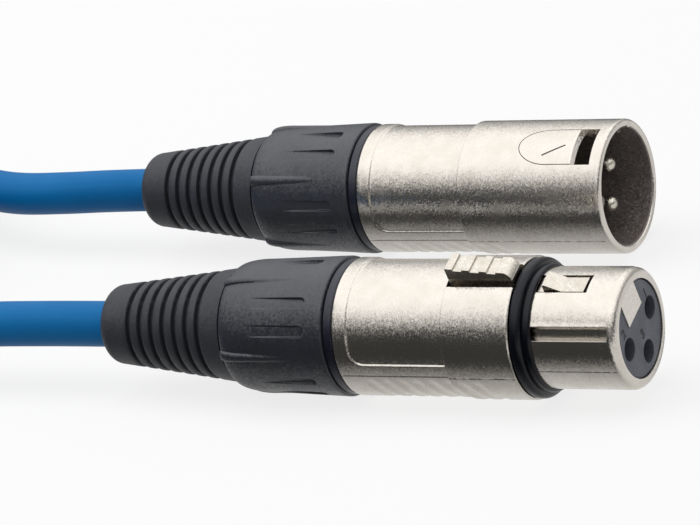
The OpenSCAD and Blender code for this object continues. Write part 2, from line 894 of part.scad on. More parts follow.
// Section of a strap with round corners
module strap_section(x0, x1, z0, z1, r) {
    for (x = [x0 + r, x1 - r], z = [z0 + r, z1 - r])
        translate([x, z])
            circle(r);
    translate([x0 + r, z0])
        square([x1 - x0 - 2 * r, z1 - z0]);
    translate([x0, z0 + r])
        square([x1 - x0, z1 - z0 - 2 * r]);
}

// Hook-and-loop tie round the turns on the far side of the coil
module coil_tie() {
    outer = COIL_CENTRE[0] - coil_outer_r - cable_r + turn_pitch / 4 - 0.3;
    inner = COIL_CENTRE[0] - coil_outer_r + turn_pitch * coil_half + cable_r + 1.6;
    top = coil_low + turn_pitch + cable_r + 0.3;
    color([0.1, 0.1, 0.11])
        translate([0, COIL_CENTRE[1], 0])
            rotate([90, 0, 0])
                linear_extrude(tie_w, center = true)
                    difference() {
                        strap_section(outer - tie_t, inner + tie_t, 0, top + tie_t, 4);
                        strap_section(outer, inner, tie_t, top, 3);
                    }
}

male_shell();
male_insert();
male_contact(0);  // male_contact_1
male_contact(1);  // male_contact_2
male_contact(2);  // male_contact_3
place_male() ground_spring(s_insert + 1, s_mouth - lip_t - 1);  // male_ground_spring
place_male() clamp();  // male_clamp
place_male() coding_ring();  // male_coding_ring
place_male() rotate([male_nut_turn, 0, 0]) nut();  // male_nut
place_male() boot();  // male_boot
place_male() cable_end();  // male_cable_end
place_male() color("red") core(1, core_d, 1.5);  // male_core_hot
place_male() color("white") core(2, core_d, 1.5);  // male_core_cold
place_male() color("silver") core(0, drain_d, 1.5);  // male_screen
female_shell();
female_insert();
female_contact(1);  // female_contact_1
female_contact(0);  // female_contact_2
female_contact(2);  // female_contact_3
place_female() ground_spring(s_insert + 1, s_step - 2);  // female_ground_spring
latch_lever();
latch_pin();
latch_spring();
female_front_ring();
place_female() clamp();  // female_clamp
place_female() coding_ring();  // female_coding_ring
place_female() rotate([female_nut_turn, 0, 0]) nut();  // female_nut
place_female() boot();  // female_boot
place_female() cable_end();  // female_cable_end
place_female() color("red") core(0, core_d, 1.5);  // female_core_hot
place_female() color("white") core(2, core_d, 1.5);  // female_core_cold
place_female() color("silver") core(1, drain_d, 1.5);  // female_screen
lead([male_x, male_y, axis_h], MALE_ROUTE, COIL_END);  // male_lead
cable_coil();
lead([female_x, female_y, axis_h], FEMALE_ROUTE, COIL_START);  // female_lead
coil_tie();
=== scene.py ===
"""Looks of a balanced audio cable with a male and a female three-pole connector.

Shapes are worked out in millimetres. A connector has its own frame: the station s runs along +X from
the rear end of the boot, and the latch side is +Z. An angle round a connector is measured from +Z
towards +Y. Placement turns that frame into the model's frame, in metres.
"""

import logging
import math
from dataclasses import dataclass, field
from enum import Enum
from typing import Callable, Sequence

import bmesh
import bpy
import numpy as np
from mathutils import Matrix


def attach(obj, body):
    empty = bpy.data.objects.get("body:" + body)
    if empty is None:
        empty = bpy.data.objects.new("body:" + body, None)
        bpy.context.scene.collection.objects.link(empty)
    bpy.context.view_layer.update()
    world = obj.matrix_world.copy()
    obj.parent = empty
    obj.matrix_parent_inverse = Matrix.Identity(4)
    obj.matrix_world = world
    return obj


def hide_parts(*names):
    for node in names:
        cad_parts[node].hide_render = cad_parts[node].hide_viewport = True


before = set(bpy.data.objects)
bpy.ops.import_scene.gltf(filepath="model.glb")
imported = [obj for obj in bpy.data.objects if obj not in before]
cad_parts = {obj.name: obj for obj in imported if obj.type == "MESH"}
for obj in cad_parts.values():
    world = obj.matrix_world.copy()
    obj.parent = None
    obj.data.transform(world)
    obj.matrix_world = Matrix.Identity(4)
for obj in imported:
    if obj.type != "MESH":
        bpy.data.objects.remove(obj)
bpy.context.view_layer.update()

MM = 0.001
LOG = logging.getLogger("audio_cable")

Array = np.ndarray


# ---- small helpers ----


def linear(colour: str) -> tuple[float, float, float, float]:
    """Turns an sRGB hex colour into linear light.

    Args:
        colour: Six hex digits after a hash sign.

    Returns:
        Red, green, blue and an alpha of 1.
    """
    parts = [int(colour[i : i + 2], 16) / 255 for i in (1, 3, 5)]
    red, green, blue = (c / 12.92 if c <= 0.04045 else ((c + 0.055) / 1.055) ** 2.4 for c in parts)
    return red, green, blue, 1.0


def bare_tree(owner: bpy.types.Material | bpy.types.World) -> bpy.types.NodeTree:
    """Returns the node tree of a material or a world, emptied."""
    owner.use_nodes = True
    owner.node_tree.nodes.clear()
    return owner.node_tree


def stand(thing: bpy.types.Object, axes: Sequence[Array], at: Sequence[float]) -> None:
    """Puts an object into the scene, with its three axes and its place in metres."""
    bpy.context.scene.collection.objects.link(thing)
    matrix = np.eye(4)
    matrix[:3] = np.column_stack([*axes, at])
    thing.matrix_world = Matrix(matrix.tolist())


def add_node(tree: bpy.types.NodeTree, kind: str, values: dict | None = None) -> bpy.types.Node:
    """Adds a node, and sets or links its inputs and properties.

    Args:
        tree: Node tree that gets the node.
        kind: Blender's name of the node's type, without its prefix.
        values: Plain values or output sockets, by input name or number, or by property name.

    Returns:
        The new node.
    """
    node = tree.nodes.new("ShaderNode" + kind)
    for key, value in (values or {}).items():
        if isinstance(value, bpy.types.NodeSocket):
            tree.links.new(value, node.inputs[key])
        elif isinstance(key, int) or key in node.inputs:
            node.inputs[key].default_value = value
        else:
            setattr(node, key, value)
    return node


def calc(tree: bpy.types.NodeTree, operation: str, *terms: object) -> bpy.types.NodeSocket:
    """Adds a Math node on one or two terms, each a socket or a number, and returns its result."""
    return add_node(tree, "Math", {"operation": operation, **dict(enumerate(terms))}).outputs[0]


def ramp(
    tree: bpy.types.NodeTree,
    value: bpy.types.NodeSocket,
    span: tuple[float, float],
    ends: tuple[float, float] = (0.0, 1.0),
    smooth: bool = False,
) -> bpy.types.NodeSocket:
    """Maps a span of a value to two ends, which hold outside the span.

    Args:
        tree: Node tree that gets the node.
        value: Socket with the value.
        span: Values that give the ends.
        ends: Results at the two values.
        smooth: Whether the way between them is eased.

    Returns:
        The socket with the result.
    """
    limits = dict(zip(("From Min", "From Max", "To Min", "To Max"), (*span, *ends)))
    shape = "SMOOTHSTEP" if smooth else "LINEAR"
    return add_node(tree, "MapRange", {"interpolation_type": shape, "Value": value, **limits}).outputs[0]


def ease(x: Array, low: float, high: float) -> Array:
    """Smooth step: 3t^2 - 2t^3 of t = (x - low) / (high - low), held to 0..1."""
    t = np.clip((x - low) / (high - low), 0.0, 1.0)
    return t * t * (3 - 2 * t)


def spaced(segments: Sequence[tuple[float, float, float]]) -> Array:
    """Grid lines at a chosen spacing.

    Args:
        segments: Start, end and spacing of each stretch.

    Returns:
        Sorted values without doubles.
    """
    rows = [np.linspace(a, b, max(2, int(round(abs(b - a) / step)) + 1)) for a, b, step in segments]
    return np.unique(np.round(np.concatenate(rows), 5))


def arc(cs: float, cr: float, rs: float, rr: float, a0: float, a1: float, n: int = 10) -> Array:
    """Points (cs + rs cos a, cr + rr sin a) for n steps of a from a0 to a1, in degrees."""
    a = np.radians(np.linspace(a0, a1, n + 1))
    return np.stack([cs + rs * np.cos(a), cr + rr * np.sin(a)], axis=1)


def catmull(points: Array, steps: int) -> Array:
    """Smooth curve through points, by the uniform Catmull-Rom cubic between each two.

    Args:
        points: Control points. The first and the last only set the direction.
        steps: Pieces between two points.

    Returns:
        Points of the curve from the second control point to the last but one.
    """
    p0, p1, p2, p3 = points[:-3, None], points[1:-2, None], points[2:-1, None], points[3:, None]
    t = (np.arange(steps) / steps)[None, :, None]
    bend, twist = 2 * p0 - 5 * p1 + 4 * p2 - p3, 3 * p1 - p0 - 3 * p2 + p3
    curve = 0.5 * (2 * p1 + (p2 - p0) * t + bend * t**2 + twist * t**3)
    return np.concatenate([curve.reshape(-1, 3), points[-2:-1]])


# ---- finishes ----


class Texture(Enum):
    """What kind of grain a surface has."""

    BLASTED = "blasted"
    FINE = "fine"
    FABRIC = "fabric"


@dataclass(frozen=True)
class Finish:
    """A real material and the way its surface looks.

    Colours are sRGB hex values. Sizes of grain and mottling are in millimetres.
    """

    name: str
    colour: str
    second: str
    roughness: tuple[float, float]
    texture: Texture = Texture.FINE
    metallic: float = 0.0
    ior: float = 1.5
    grain: float = 0.25
    grain_depth: float = 0.01
    mottle: float = 4.0
    edge: float = 0.12
    edge_colour: str | None = None
    gloss: float = 0.5
    facets: float = 0.0
    cell: float = 0.22
    sheen: float = 0.0

    def build(self) -> bpy.types.Material:
        """Makes the node material.

        The grain is a noise at the grain's real size that drives a bump. A second, larger noise mixes
        the two colours and varies the roughness. A bevelled normal rounds the edges, and the curvature
        of the mesh lets edges wear to their own colour. Facets tilt the normal cell by cell.

        Returns:
            The material.
        """
        material = bpy.data.materials.new(self.name)
        tree = bare_tree(material)
        where = add_node(tree, "TexCoord").outputs["Object"]
        patches = {"Scale": 1 / (self.mottle * MM), "Detail": 3.0, "Roughness": 0.55, "Vector": where}
        mottle = add_node(tree, "TexNoise", patches).outputs[0]
        colour = self.mix(tree, ramp(tree, mottle, (0.35, 0.65)), linear(self.colour), linear(self.second))
        if self.edge_colour:
            bend = add_node(tree, "NewGeometry").outputs["Pointiness"]
            colour = self.mix(tree, ramp(tree, bend, (0.52, 0.6)), colour, linear(self.edge_colour))
        bevel = add_node(tree, "Bevel", {"samples": 6, "Radius": self.edge * MM}).outputs[0]
        relief = {"Distance": self.grain_depth * MM, "Height": self.grain_node(tree, where), "Normal": bevel}
        normal = add_node(tree, "Bump", {"Strength": 1.0, **relief}).outputs[0]
        if self.facets:
            normal, share = self.tilted(tree, where, normal)
            if self.texture is Texture.BLASTED:
                colour = self.mix(tree, share, colour, linear(self.second))
        shader = add_node(tree, "BsdfPrincipled", {
            "Base Color": colour,
            "Metallic": self.metallic,
            "Roughness": ramp(tree, mottle, (0.3, 0.7), self.roughness),
            "IOR": self.ior,
            "Specular IOR Level": self.gloss,
            "Sheen Weight": self.sheen,
            "Sheen Roughness": 0.4,
            "Normal": normal,
        })
        add_node(tree, "OutputMaterial", {"Surface": shader.outputs[0]})
        return material

    def tilted(
        self, tree: bpy.types.NodeTree, where: bpy.types.NodeSocket, normal: bpy.types.NodeSocket
    ) -> tuple[bpy.types.NodeSocket, bpy.types.NodeSocket]:
        """Tilts the normal by a random amount in each cell, as the dents of blasting or of a mould's grain do.

        Args:
            tree: Node tree of the material.
            where: Coordinates in metres.
            normal: The smooth normal.

        Returns:
            The sockets of the tilted normal and of the cell's random colour.
        """
        cells = add_node(tree, "TexVoronoi", {"Scale": 1 / (self.cell * MM), "Vector": where}).outputs["Color"]
        centred = add_node(tree, "VectorMath", {"operation": "SUBTRACT", 0: cells, 1: (0.5, 0.5, 0.5)})
        tilt = add_node(tree, "VectorMath", {"operation": "SCALE", 0: centred.outputs[0], "Scale": self.facets})
        total = add_node(tree, "VectorMath", {"operation": "ADD", 0: normal, 1: tilt.outputs[0]})
        unit = add_node(tree, "VectorMath", {"operation": "NORMALIZE", 0: total.outputs[0]})
        return unit.outputs[0], cells

    def grain_node(self, tree: bpy.types.NodeTree, where: bpy.types.NodeSocket) -> bpy.types.NodeSocket:
        """Makes the height of the grain.

        Args:
            tree: Node tree of the material.
            where: Coordinates in metres.

        Returns:
            The socket that holds the height.
        """
        scale = 1 / (self.grain * MM)
        if self.texture is Texture.FABRIC:
            loops = add_node(tree, "TexVoronoi", {"Scale": scale, "Randomness": 0.8, "Vector": where})
            return loops.outputs["Distance"]
        detail = 2.0 if self.texture is Texture.BLASTED else 4.0
        noise = {"Scale": scale, "Detail": detail, "Roughness": 0.6, "Vector": where}
        return add_node(tree, "TexNoise", noise).outputs[0]

    @staticmethod
    def mix(
        tree: bpy.types.NodeTree, share: bpy.types.NodeSocket, first: object, second: object
    ) -> bpy.types.NodeSocket:
        """Mixes two colours, each a socket or a plain value.

        Args:
            tree: Node tree of the material.
            share: Socket with the share of the second colour.
            first: Colour at a share of 0.
            second: Colour at a share of 1.

        Returns:
            The socket that holds the mixed colour.
        """
        return add_node(tree, "Mix", {"data_type": "RGBA", 0: share, 6: first, 7: second}).outputs[2]


# Die-cast zinc, bead blasted and nickel plated: warm grey. The dents of the blasting sparkle and break up
# reflections. They're about 0.1 mm across, drawn at 0.15 mm so that they show.
NICKEL = Finish(
    "blasted_nickel_plate", "#dbd6ce", "#cfc9c0", (0.22, 0.29), Texture.BLASTED, metallic=1.0,
    grain=0.9, grain_depth=0.012, mottle=3.0, edge=0.12, edge_colour="#e4dfd7", facets=0.15, cell=0.15,
)
# The same casting inside the mouth, with a coarser blast and dull, drawn brown grey and much darker than the
# outside: painted shade in the bore.
BORE_NICKEL_PAINTED_SHADE = Finish(
    "dull_nickel_bore_painted_shade", "#9a918c", "#857c78", (0.5, 0.6), Texture.BLASTED, metallic=0.4,
    grain=0.9, grain_depth=0.02, mottle=3.0, edge=0.1, facets=0.45,
)
# Engraved lines, drawn as dark grey strips on the surface: painted shade of their grooves.
ENGRAVING_SHADE = Finish(
    "engraving_painted_shade", "#4b4844", "#3c3a37", (0.5, 0.6), grain=0.2, grain_depth=0.01, mottle=1.0,
)
# Stamped spring steel, nickel plated: smoother and brighter than the shell.
LATCH_STEEL = Finish(
    "plated_spring_steel", "#dcd6cd", "#c2bbb0", (0.22, 0.3), Texture.BLASTED, metallic=1.0,
    grain=0.3, grain_depth=0.004, mottle=2.0, edge=0.06, facets=0.05,
)
# Turned copper alloy, silver plated: a soft white metal.
SILVER = Finish(
    "silver_plated_contact", "#e2ded2", "#cbc6b8", (0.26, 0.36), Texture.BLASTED, metallic=1.0,
    grain=0.3, grain_depth=0.004, mottle=1.5, edge=0.1, facets=0.12,
)
# Stamped copper alloy, thinly gold plated.
GILT = Finish(
    "gilt_spring_contact", "#c8a45a", "#b98f48", (0.25, 0.38), Texture.BLASTED, metallic=1.0,
    grain=0.3, grain_depth=0.004, mottle=1.5, edge=0.08,
)
# Glass-filled nylon from a spark-eroded mould: blue black, with an even fine grain and a low sheen.
NUT_NYLON = Finish(
    "moulded_glass_filled_nylon", "#2a2d36", "#252830", (0.36, 0.44), grain=0.28, grain_depth=0.012,
    mottle=5.0, edge=0.12, edge_colour="#3a3d45", gloss=0.85, facets=0.2, cell=0.24,
)
# Soft thermoplastic rubber of the boot: darker and duller, with a dry skin.
BOOT_RUBBER = Finish(
    "thermoplastic_rubber", "#34363c", "#303238", (0.5, 0.6), grain=0.4, grain_depth=0.012,
    mottle=6.0, edge=0.1, edge_colour="#44464c", facets=0.14, cell=0.26,
)
# Injection-moulded polypropylene coding ring: blue black, a little glossy.
RING_PLASTIC = Finish(
    "moulded_polypropylene", "#171a2b", "#131626", (0.3, 0.4), grain=0.5, grain_depth=0.006, mottle=4.0,
    gloss=0.6, facets=0.06,
)
# Moulded synthetic rubber ring round the nose: blue black, with a soft gloss.
FRONT_RUBBER = Finish(
    "moulded_ring_rubber", "#070b18", "#060913", (0.26, 0.34), grain=0.5, grain_depth=0.01, mottle=4.0,
    gloss=0.3, facets=0.05,
)
# Polyester insulator of the female face: slate grey, satin.
FACE_POLYESTER = Finish(
    "moulded_polyester_grey", "#666b76", "#5e636e", (0.42, 0.52), grain=0.3, grain_depth=0.012, mottle=3.0,
    facets=0.12,
)
# Polyester insulator of the male connector: black, satin.
DARK_POLYESTER = Finish(
    "moulded_polyester_black", "#1d1f22", "#18191c", (0.42, 0.52), grain=0.3, grain_depth=0.012, mottle=3.0,
)
# Acetal cable clamp: off-white and waxy.
ACETAL = Finish(
    "moulded_acetal", "#b9b8ae", "#aeada2", (0.35, 0.45), grain=0.5, grain_depth=0.008, mottle=3.0,
)
# Shallow moulding of the contact numbers, dark with shadow.
NUMBER_MARK = Finish(
    "moulded_number_recess", "#14161d", "#101218", (0.5, 0.6), grain=0.2, grain_depth=0.01, mottle=1.0,
)
# Extruded flexible PVC jacket: saturated blue and matt.
JACKET = Finish(
    "extruded_blue_pvc", "#0470b0", "#0369a8", (0.44, 0.54), grain=0.9, grain_depth=0.012,
    mottle=12.0, edge=0.05, gloss=0.2,
)
# Extruded polyethylene core insulation.
CORE_RED = Finish(
    "red_polyethylene", "#a8281f", "#9c241c", (0.35, 0.42), grain=0.6, grain_depth=0.004,
)
CORE_WHITE = Finish(
    "white_polyethylene", "#d9d7cf", "#cfcdc4", (0.35, 0.42), grain=0.6, grain_depth=0.004,
)
# Napped nylon hook-and-loop tape: black, matt and fuzzy, with loops of about 0.5 mm.
TIE_FABRIC = Finish(
    "napped_nylon_loop_tape", "#17181a", "#1f2023", (0.8, 0.95), Texture.FABRIC, grain=0.5, grain_depth=0.16,
    mottle=2.0, edge=0.2, sheen=0.35,
)


class Wardrobe:
    """Builds each finish once and hands out its material."""

    def __init__(self) -> None:
        """Starts empty."""
        self.made: dict[str, bpy.types.Material] = {}

    def get(self, finish: Finish) -> bpy.types.Material:
        """Returns the finish's material, made at its first use."""
        if finish.name not in self.made:
            self.made[finish.name] = finish.build()
        return self.made[finish.name]

    def dress(self, node: str, finish: Finish) -> None:
        """Gives a CAD node that stays in view its finish."""
        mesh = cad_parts[node].data
        mesh.materials.clear()
        mesh.materials.append(self.get(finish))


WARDROBE = Wardrobe()


# ---- surfaces ----


@dataclass
class Surface:
    """Points in millimetres, and faces as rows of point numbers."""

    points: Array
    faces: Array

    def joined(self, other: "Surface") -> "Surface":
        """Returns both surfaces as one, without welding."""
        return Surface(
            np.concatenate([self.points, other.points]),
            np.concatenate([self.faces, other.faces + len(self.points)]),
        )


def loop_faces(rows: int, around: int, first: int = 0, closed_rows: bool = False) -> Array:
    """Quads of a grid whose columns close on themselves.

    Args:
        rows: Number of rows.
        around: Points in a row.
        first: Number of the grid's first point.
        closed_rows: Whether the last row joins the first.

    Returns:
        Four point numbers per quad.
    """
    i = np.arange(rows if closed_rows else rows - 1)[:, None]
    j = np.arange(around)[None, :]
    k, m = (j + 1) % around, (i + 1) % rows
    quads = np.stack([i * around + j, i * around + k, m * around + k, m * around + j], axis=-1)
    return quads.reshape(-1, 4) + first


def revolve(profile: Array, sides: int = 160) -> Surface:
    """Turns a closed profile about the X axis: (s, r) becomes (s, r sin a, r cos a).

    Args:
        profile: Stations and radii, in order round the section.
        sides: Points round the axis.

    Returns:
        The closed surface.
    """
    a = np.linspace(0, 2 * math.pi, sides, endpoint=False)
    s, r = profile[:, :1], profile[:, 1:]
    points = np.stack([s + 0 * a, r * np.sin(a), r * np.cos(a)], axis=-1)
    return Surface(points.reshape(-1, 3), loop_faces(len(profile), sides, closed_rows=True))


def sleeve(stations: Array, angles: Array, outer: Array, inner: Array, holes: Array) -> Surface:
    """A tubular wall between two height fields over the same grid, with openings.

    The outer point is (s, R sin a, R cos a) with R from outer, and the inner one takes its radius
    from inner. Cells marked as holes are left out of both sheets, and each border between a hole
    and the wall gets a quad from the outer sheet to the inner one.

    Args:
        stations: n stations along the axis.
        angles: m angles round it, in degrees.
        outer: n by m outer radii.
        inner: n by m inner radii.
        holes: n - 1 by m marks of the open cells.

    Returns:
        The closed surface.
    """
    n, m = outer.shape
    a = np.radians(angles)[None, :]
    s = stations[:, None] + 0 * a
    sheets = [np.stack([s, r * np.sin(a), r * np.cos(a)], axis=-1).reshape(-1, 3) for r in (outer, inner)]
    grid = loop_faces(n, m).reshape(n - 1, m, 4)
    solid = ~holes
    skin, lining = grid[solid], grid[solid][:, ::-1] + n * m
    number = np.arange(n * m).reshape(n, m)
    walls = []
    turn = solid != np.roll(solid, -1, axis=1)
    i, j = np.nonzero(turn)
    k = (j + 1) % m
    walls.append(np.stack([number[i, k], number[i + 1, k]], axis=1))
    open_rows = np.concatenate([np.zeros((1, m), bool), solid, np.zeros((1, m), bool)])
    i, j = np.nonzero(open_rows[1:] != open_rows[:-1])
    walls.append(np.stack([number[i, j], number[i, (j + 1) % m]], axis=1))
    edge = np.concatenate(walls)
    sides = np.concatenate([edge, edge[:, ::-1] + n * m], axis=1)
    return Surface(np.concatenate(sheets), np.concatenate([skin, lining, sides]))


def fan(count: int, first: int, hub: int) -> Array:
    """Triangles from a ring of points to a hub, as quads with a doubled corner."""
    j = np.arange(count)
    return np.stack([j + first, (j + 1) % count + first, np.full(count, hub), np.full(count, hub)], axis=1)


def bar(edges: Sequence[Array], lids: bool = True) -> Surface:
    """A bar whose four long edges are rows of points, in the order 0, 1, 3, 2 round it.

    Args:
        edges: The four rows of points.
        lids: Whether its two ends are closed.

    Returns:
        The surface.
    """
    n = len(edges[0])
    i = np.arange(n - 1)
    pairs = ((0, 1), (1, 3), (3, 2), (2, 0))
    faces = [np.stack([i + p * n, i + q * n, i + 1 + q * n, i + 1 + p * n], axis=1) for p, q in pairs]
    ends = [[[e, e + n, e + 3 * n, e + 2 * n]] for e in (0, n - 1) if lids]
    return Surface(np.concatenate(edges), np.concatenate([*faces, *ends]))


def prism(section: Array, low: float, high: float) -> Surface:
    """A prism along the X axis.

    Args:
        section: Corners (y, z) of its convex section, in order.
        low: First station.
        high: Last station.

    Returns:
        The closed surface.
    """
    n = len(section)
    ends = [np.column_stack([np.full(n, s), section]) for s in (low, high)]
    centre = section.mean(axis=0)
    hubs = np.array([[low, *centre], [high, *centre]])
    j = np.arange(n)
    k = (j + 1) % n
    walls = np.stack([j, k, k + n, j + n], axis=1)
    lids = [fan(n, end * n, 2 * n + end) for end in (0, 1)]
    return Surface(np.concatenate([*ends, hubs]), np.concatenate([walls, *lids]))


def make_piece(
    name: str,
    surface: Surface,
    place: Callable[[Array], Array],
    finish: Finish,
    body: str,
    replaced: Sequence[str] = (),
    sharp: float = 32.0,
) -> bpy.types.Object:
    """Puts a surface into the scene as a piece that rides on a body.

    Args:
        name: Name of the piece.
        surface: Its points and faces.
        place: Turns its points into the model's frame, in metres.
        finish: Its finish.
        body: CAD body that carries it.
        replaced: CAD nodes that it stands for.
        sharp: Edges that turn by more than this many degrees stay sharp.

    Returns:
        The new object.
    """
    mesh = bpy.data.meshes.new(name)
    faces = [list(dict.fromkeys(f)) for f in surface.faces.tolist()]
    mesh.from_pydata(place(surface.points).tolist(), [], faces)
    shape = bmesh.new()
    shape.from_mesh(mesh)
    bmesh.ops.remove_doubles(shape, verts=shape.verts, dist=1e-7)
    bmesh.ops.recalc_face_normals(shape, faces=shape.faces)
    shape.to_mesh(mesh)
    shape.free()
    mesh.polygons.foreach_set("use_smooth", np.ones(len(mesh.polygons), bool))
    mesh.set_sharp_from_angle(angle=math.radians(sharp))
    mesh.materials.append(WARDROBE.get(finish))
    piece = bpy.data.objects.new(name, mesh)
    bpy.context.scene.collection.objects.link(piece)
    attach(piece, body)
    if replaced:
        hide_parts(*replaced)
    LOG.info("%s: %d points, rides on %s", name, len(mesh.vertices), body)
    return piece


def reline(
    piece: bpy.types.Object, finish: Finish, axis: tuple[float, float], radius: float, after: float
) -> None:
    """Gives the inside of a bore a finish of its own.

    Args:
        piece: Shell with the bore along X.
        finish: The bore's finish.
        axis: Y and Z of the bore's axis, in metres.
        radius: Faces nearer to the axis than this are inside, in metres.
        after: Faces start at this X, in metres.
    """
    mesh = piece.data
    centres = np.zeros(len(mesh.polygons) * 3)
    mesh.polygons.foreach_get("center", centres)
    x, y, z = centres.reshape(-1, 3).T
    inside = (np.hypot(y - axis[0], z - axis[1]) < radius) & (x > after)
    mesh.materials.append(WARDROBE.get(finish))
    mesh.polygons.foreach_set("material_index", inside.astype(int))


# ---- studio ----


@dataclass
class Studio:
    """Camera, lights, floor and surroundings.

    Each connector lies row_y metres from the middle, and tips holds the X of the female and the male face.
    """

    eye: tuple[float, float, float] = (0.31193, -0.52487, 0.22576)
    yaw: float = 31.15
    pitch: float = -19.53
    tilt: float = -11.37
    focal_px: float = 4687.0
    frame_px: int = 700
    sensor: float = 36.0
    row_y: float = 0.025
    tips: tuple[float, float] = (0.0508, 0.0266)
    plain_level: float = 0.5
    overhead_level: float = 1.95
    painted_pale_reflection: float = 0.85
    card_level: float = 0.05
    floor_half: float = 3.0
    floor_z: float = -0.0002
    floor_glow: float = 0.8

    def camera(self) -> None:
        """Makes the camera at the photograph's viewing angle."""
        yaw, pitch, tilt = (math.radians(a) for a in (self.yaw, self.pitch, self.tilt))
        ahead = np.array([-math.sin(yaw) * math.cos(pitch), math.cos(yaw) * math.cos(pitch), math.sin(pitch)])
        right = np.array([math.cos(yaw), math.sin(yaw), 0.0])
        up = np.cross(right, ahead)
        side = math.cos(tilt) * right + math.sin(tilt) * up
        top = math.cos(tilt) * up - math.sin(tilt) * right
        data = bpy.data.cameras.new("camera")
        data.sensor_width = self.sensor
        data.lens = self.focal_px * self.sensor / self.frame_px
        data.clip_start = 0.01
        camera = bpy.data.objects.new("camera", data)
        stand(camera, (side, top, -ahead), self.eye)
        bpy.context.scene.camera = camera

    def lamp(self, name: str, at: Sequence[float], size: tuple[float, float], watts: float) -> None:
        """Adds a soft rectangular lamp that points at the object.

        Args:
            name: Name of the lamp.
            at: Its centre, in metres.
            size: Its two sides, in metres.
            watts: Its power.
        """
        data = bpy.data.lights.new(name, "AREA")
        data.shape = "RECTANGLE"
        data.size, data.size_y = size
        data.energy = watts
        lamp = bpy.data.objects.new(name, data)
        lamp.visible_glossy = False
        away = np.array(at) / np.linalg.norm(at)
        side = np.cross([0.0, 1.0, 0.0], away)
        side /= np.linalg.norm(side)
        stand(lamp, (side, np.cross(away, side), away), at)

    def surroundings(self) -> None:
        """Makes the world: white to the camera, a plain level on the object, and for reflections a room
        that is bright overhead and dim towards the horizon."""
        world = bpy.data.worlds.new("room")
        bpy.context.scene.world = world
        tree = bare_tree(world)
        path = add_node(tree, "LightPath").outputs
        where = add_node(tree, "TexCoord").outputs["Generated"]
        _, y, z = add_node(tree, "SeparateXYZ", {0: where}).outputs
        back = ramp(tree, y, (-0.2, 0.5), (self.card_level, self.plain_level), smooth=True)
        high = ramp(tree, z, (0.12, 0.82), smooth=True)
        mirrored = add_node(tree, "Mix", {0: high, 2: back, 3: self.overhead_level}).outputs[0]
        lit = add_node(tree, "Mix", {0: path["Is Glossy Ray"], 2: self.plain_level, 3: mirrored}).outputs[0]
        seen = calc(tree, "MAXIMUM", path["Is Camera Ray"], path["Is Transmission Ray"])
        strength = add_node(tree, "Mix", {0: seen, 2: lit, 3: 1.0}).outputs[0]
        sky = add_node(tree, "Background", {"Strength": strength}).outputs[0]
        add_node(tree, "OutputWorld", {"Surface": sky})

    def floor(self) -> None:
        """Makes a pale floor that keeps the object's shadow.

        In reflections it shows no lit paint but glows with a painted reflection: pale under each connector
        and in front of it, and dark between them, as black cards beside them would make it.
        """
        mesh = bpy.data.meshes.new("floor")
        corners = ((-1, -1), (1, -1), (1, 1), (-1, 1))
        corners = [(self.floor_half * x, self.floor_half * y, self.floor_z) for x, y in corners]
        mesh.from_pydata(corners, [], [(0, 1, 2, 3)])
        floor = bpy.data.objects.new("floor", mesh)
        bpy.context.scene.collection.objects.link(floor)
        material = bpy.data.materials.new("matt_white_table")
        tree = bare_tree(material)
        path = add_node(tree, "LightPath").outputs
        x, y, _ = add_node(tree, "SeparateXYZ", {0: add_node(tree, "TexCoord").outputs["Object"]}).outputs
        away = calc(tree, "ABSOLUTE", calc(tree, "SUBTRACT", calc(tree, "ABSOLUTE", y), self.row_y))
        near = ramp(tree, away, (0.0, 0.02), (self.painted_pale_reflection, self.card_level), smooth=True)
        tip = ramp(tree, y, (-0.005, 0.005), self.tips)
        front = ramp(tree, calc(tree, "SUBTRACT", x, tip), (0.001, 0.005), smooth=True)
        level = add_node(tree, "Mix", {0: front, 2: near, 3: self.painted_pale_reflection}).outputs[0]
        # Seen only in reflections: the floor glows at this level, a painted reflection.
        mirrored = add_node(tree, "Emission", {"Strength": level}).outputs[0]
        tone = ramp(tree, path["Is Camera Ray"], (0.0, 1.0), (0.4, 0.9))
        paint = add_node(tree, "BsdfDiffuse", {"Color": tone}).outputs[0]
        white = add_node(tree, "Emission").outputs[0]
        share = calc(tree, "MULTIPLY", path["Is Camera Ray"], self.floor_glow)
        seen = add_node(tree, "MixShader", {0: share, 1: paint, 2: white}).outputs[0]
        both = add_node(tree, "MixShader", {0: path["Is Glossy Ray"], 1: seen, 2: mirrored}).outputs[0]
        add_node(tree, "OutputMaterial", {"Surface": both})
        mesh.materials.append(material)

    def build(self) -> None:
        """Makes everything that isn't the object."""
        bpy.context.scene.view_settings.view_transform = "Standard"
        self.camera()
        self.surroundings()
        self.floor()
        self.lamp("overhead", (-0.35, -0.08, 0.75), (1.2, 0.8), 6.2)


# ---- cable ----


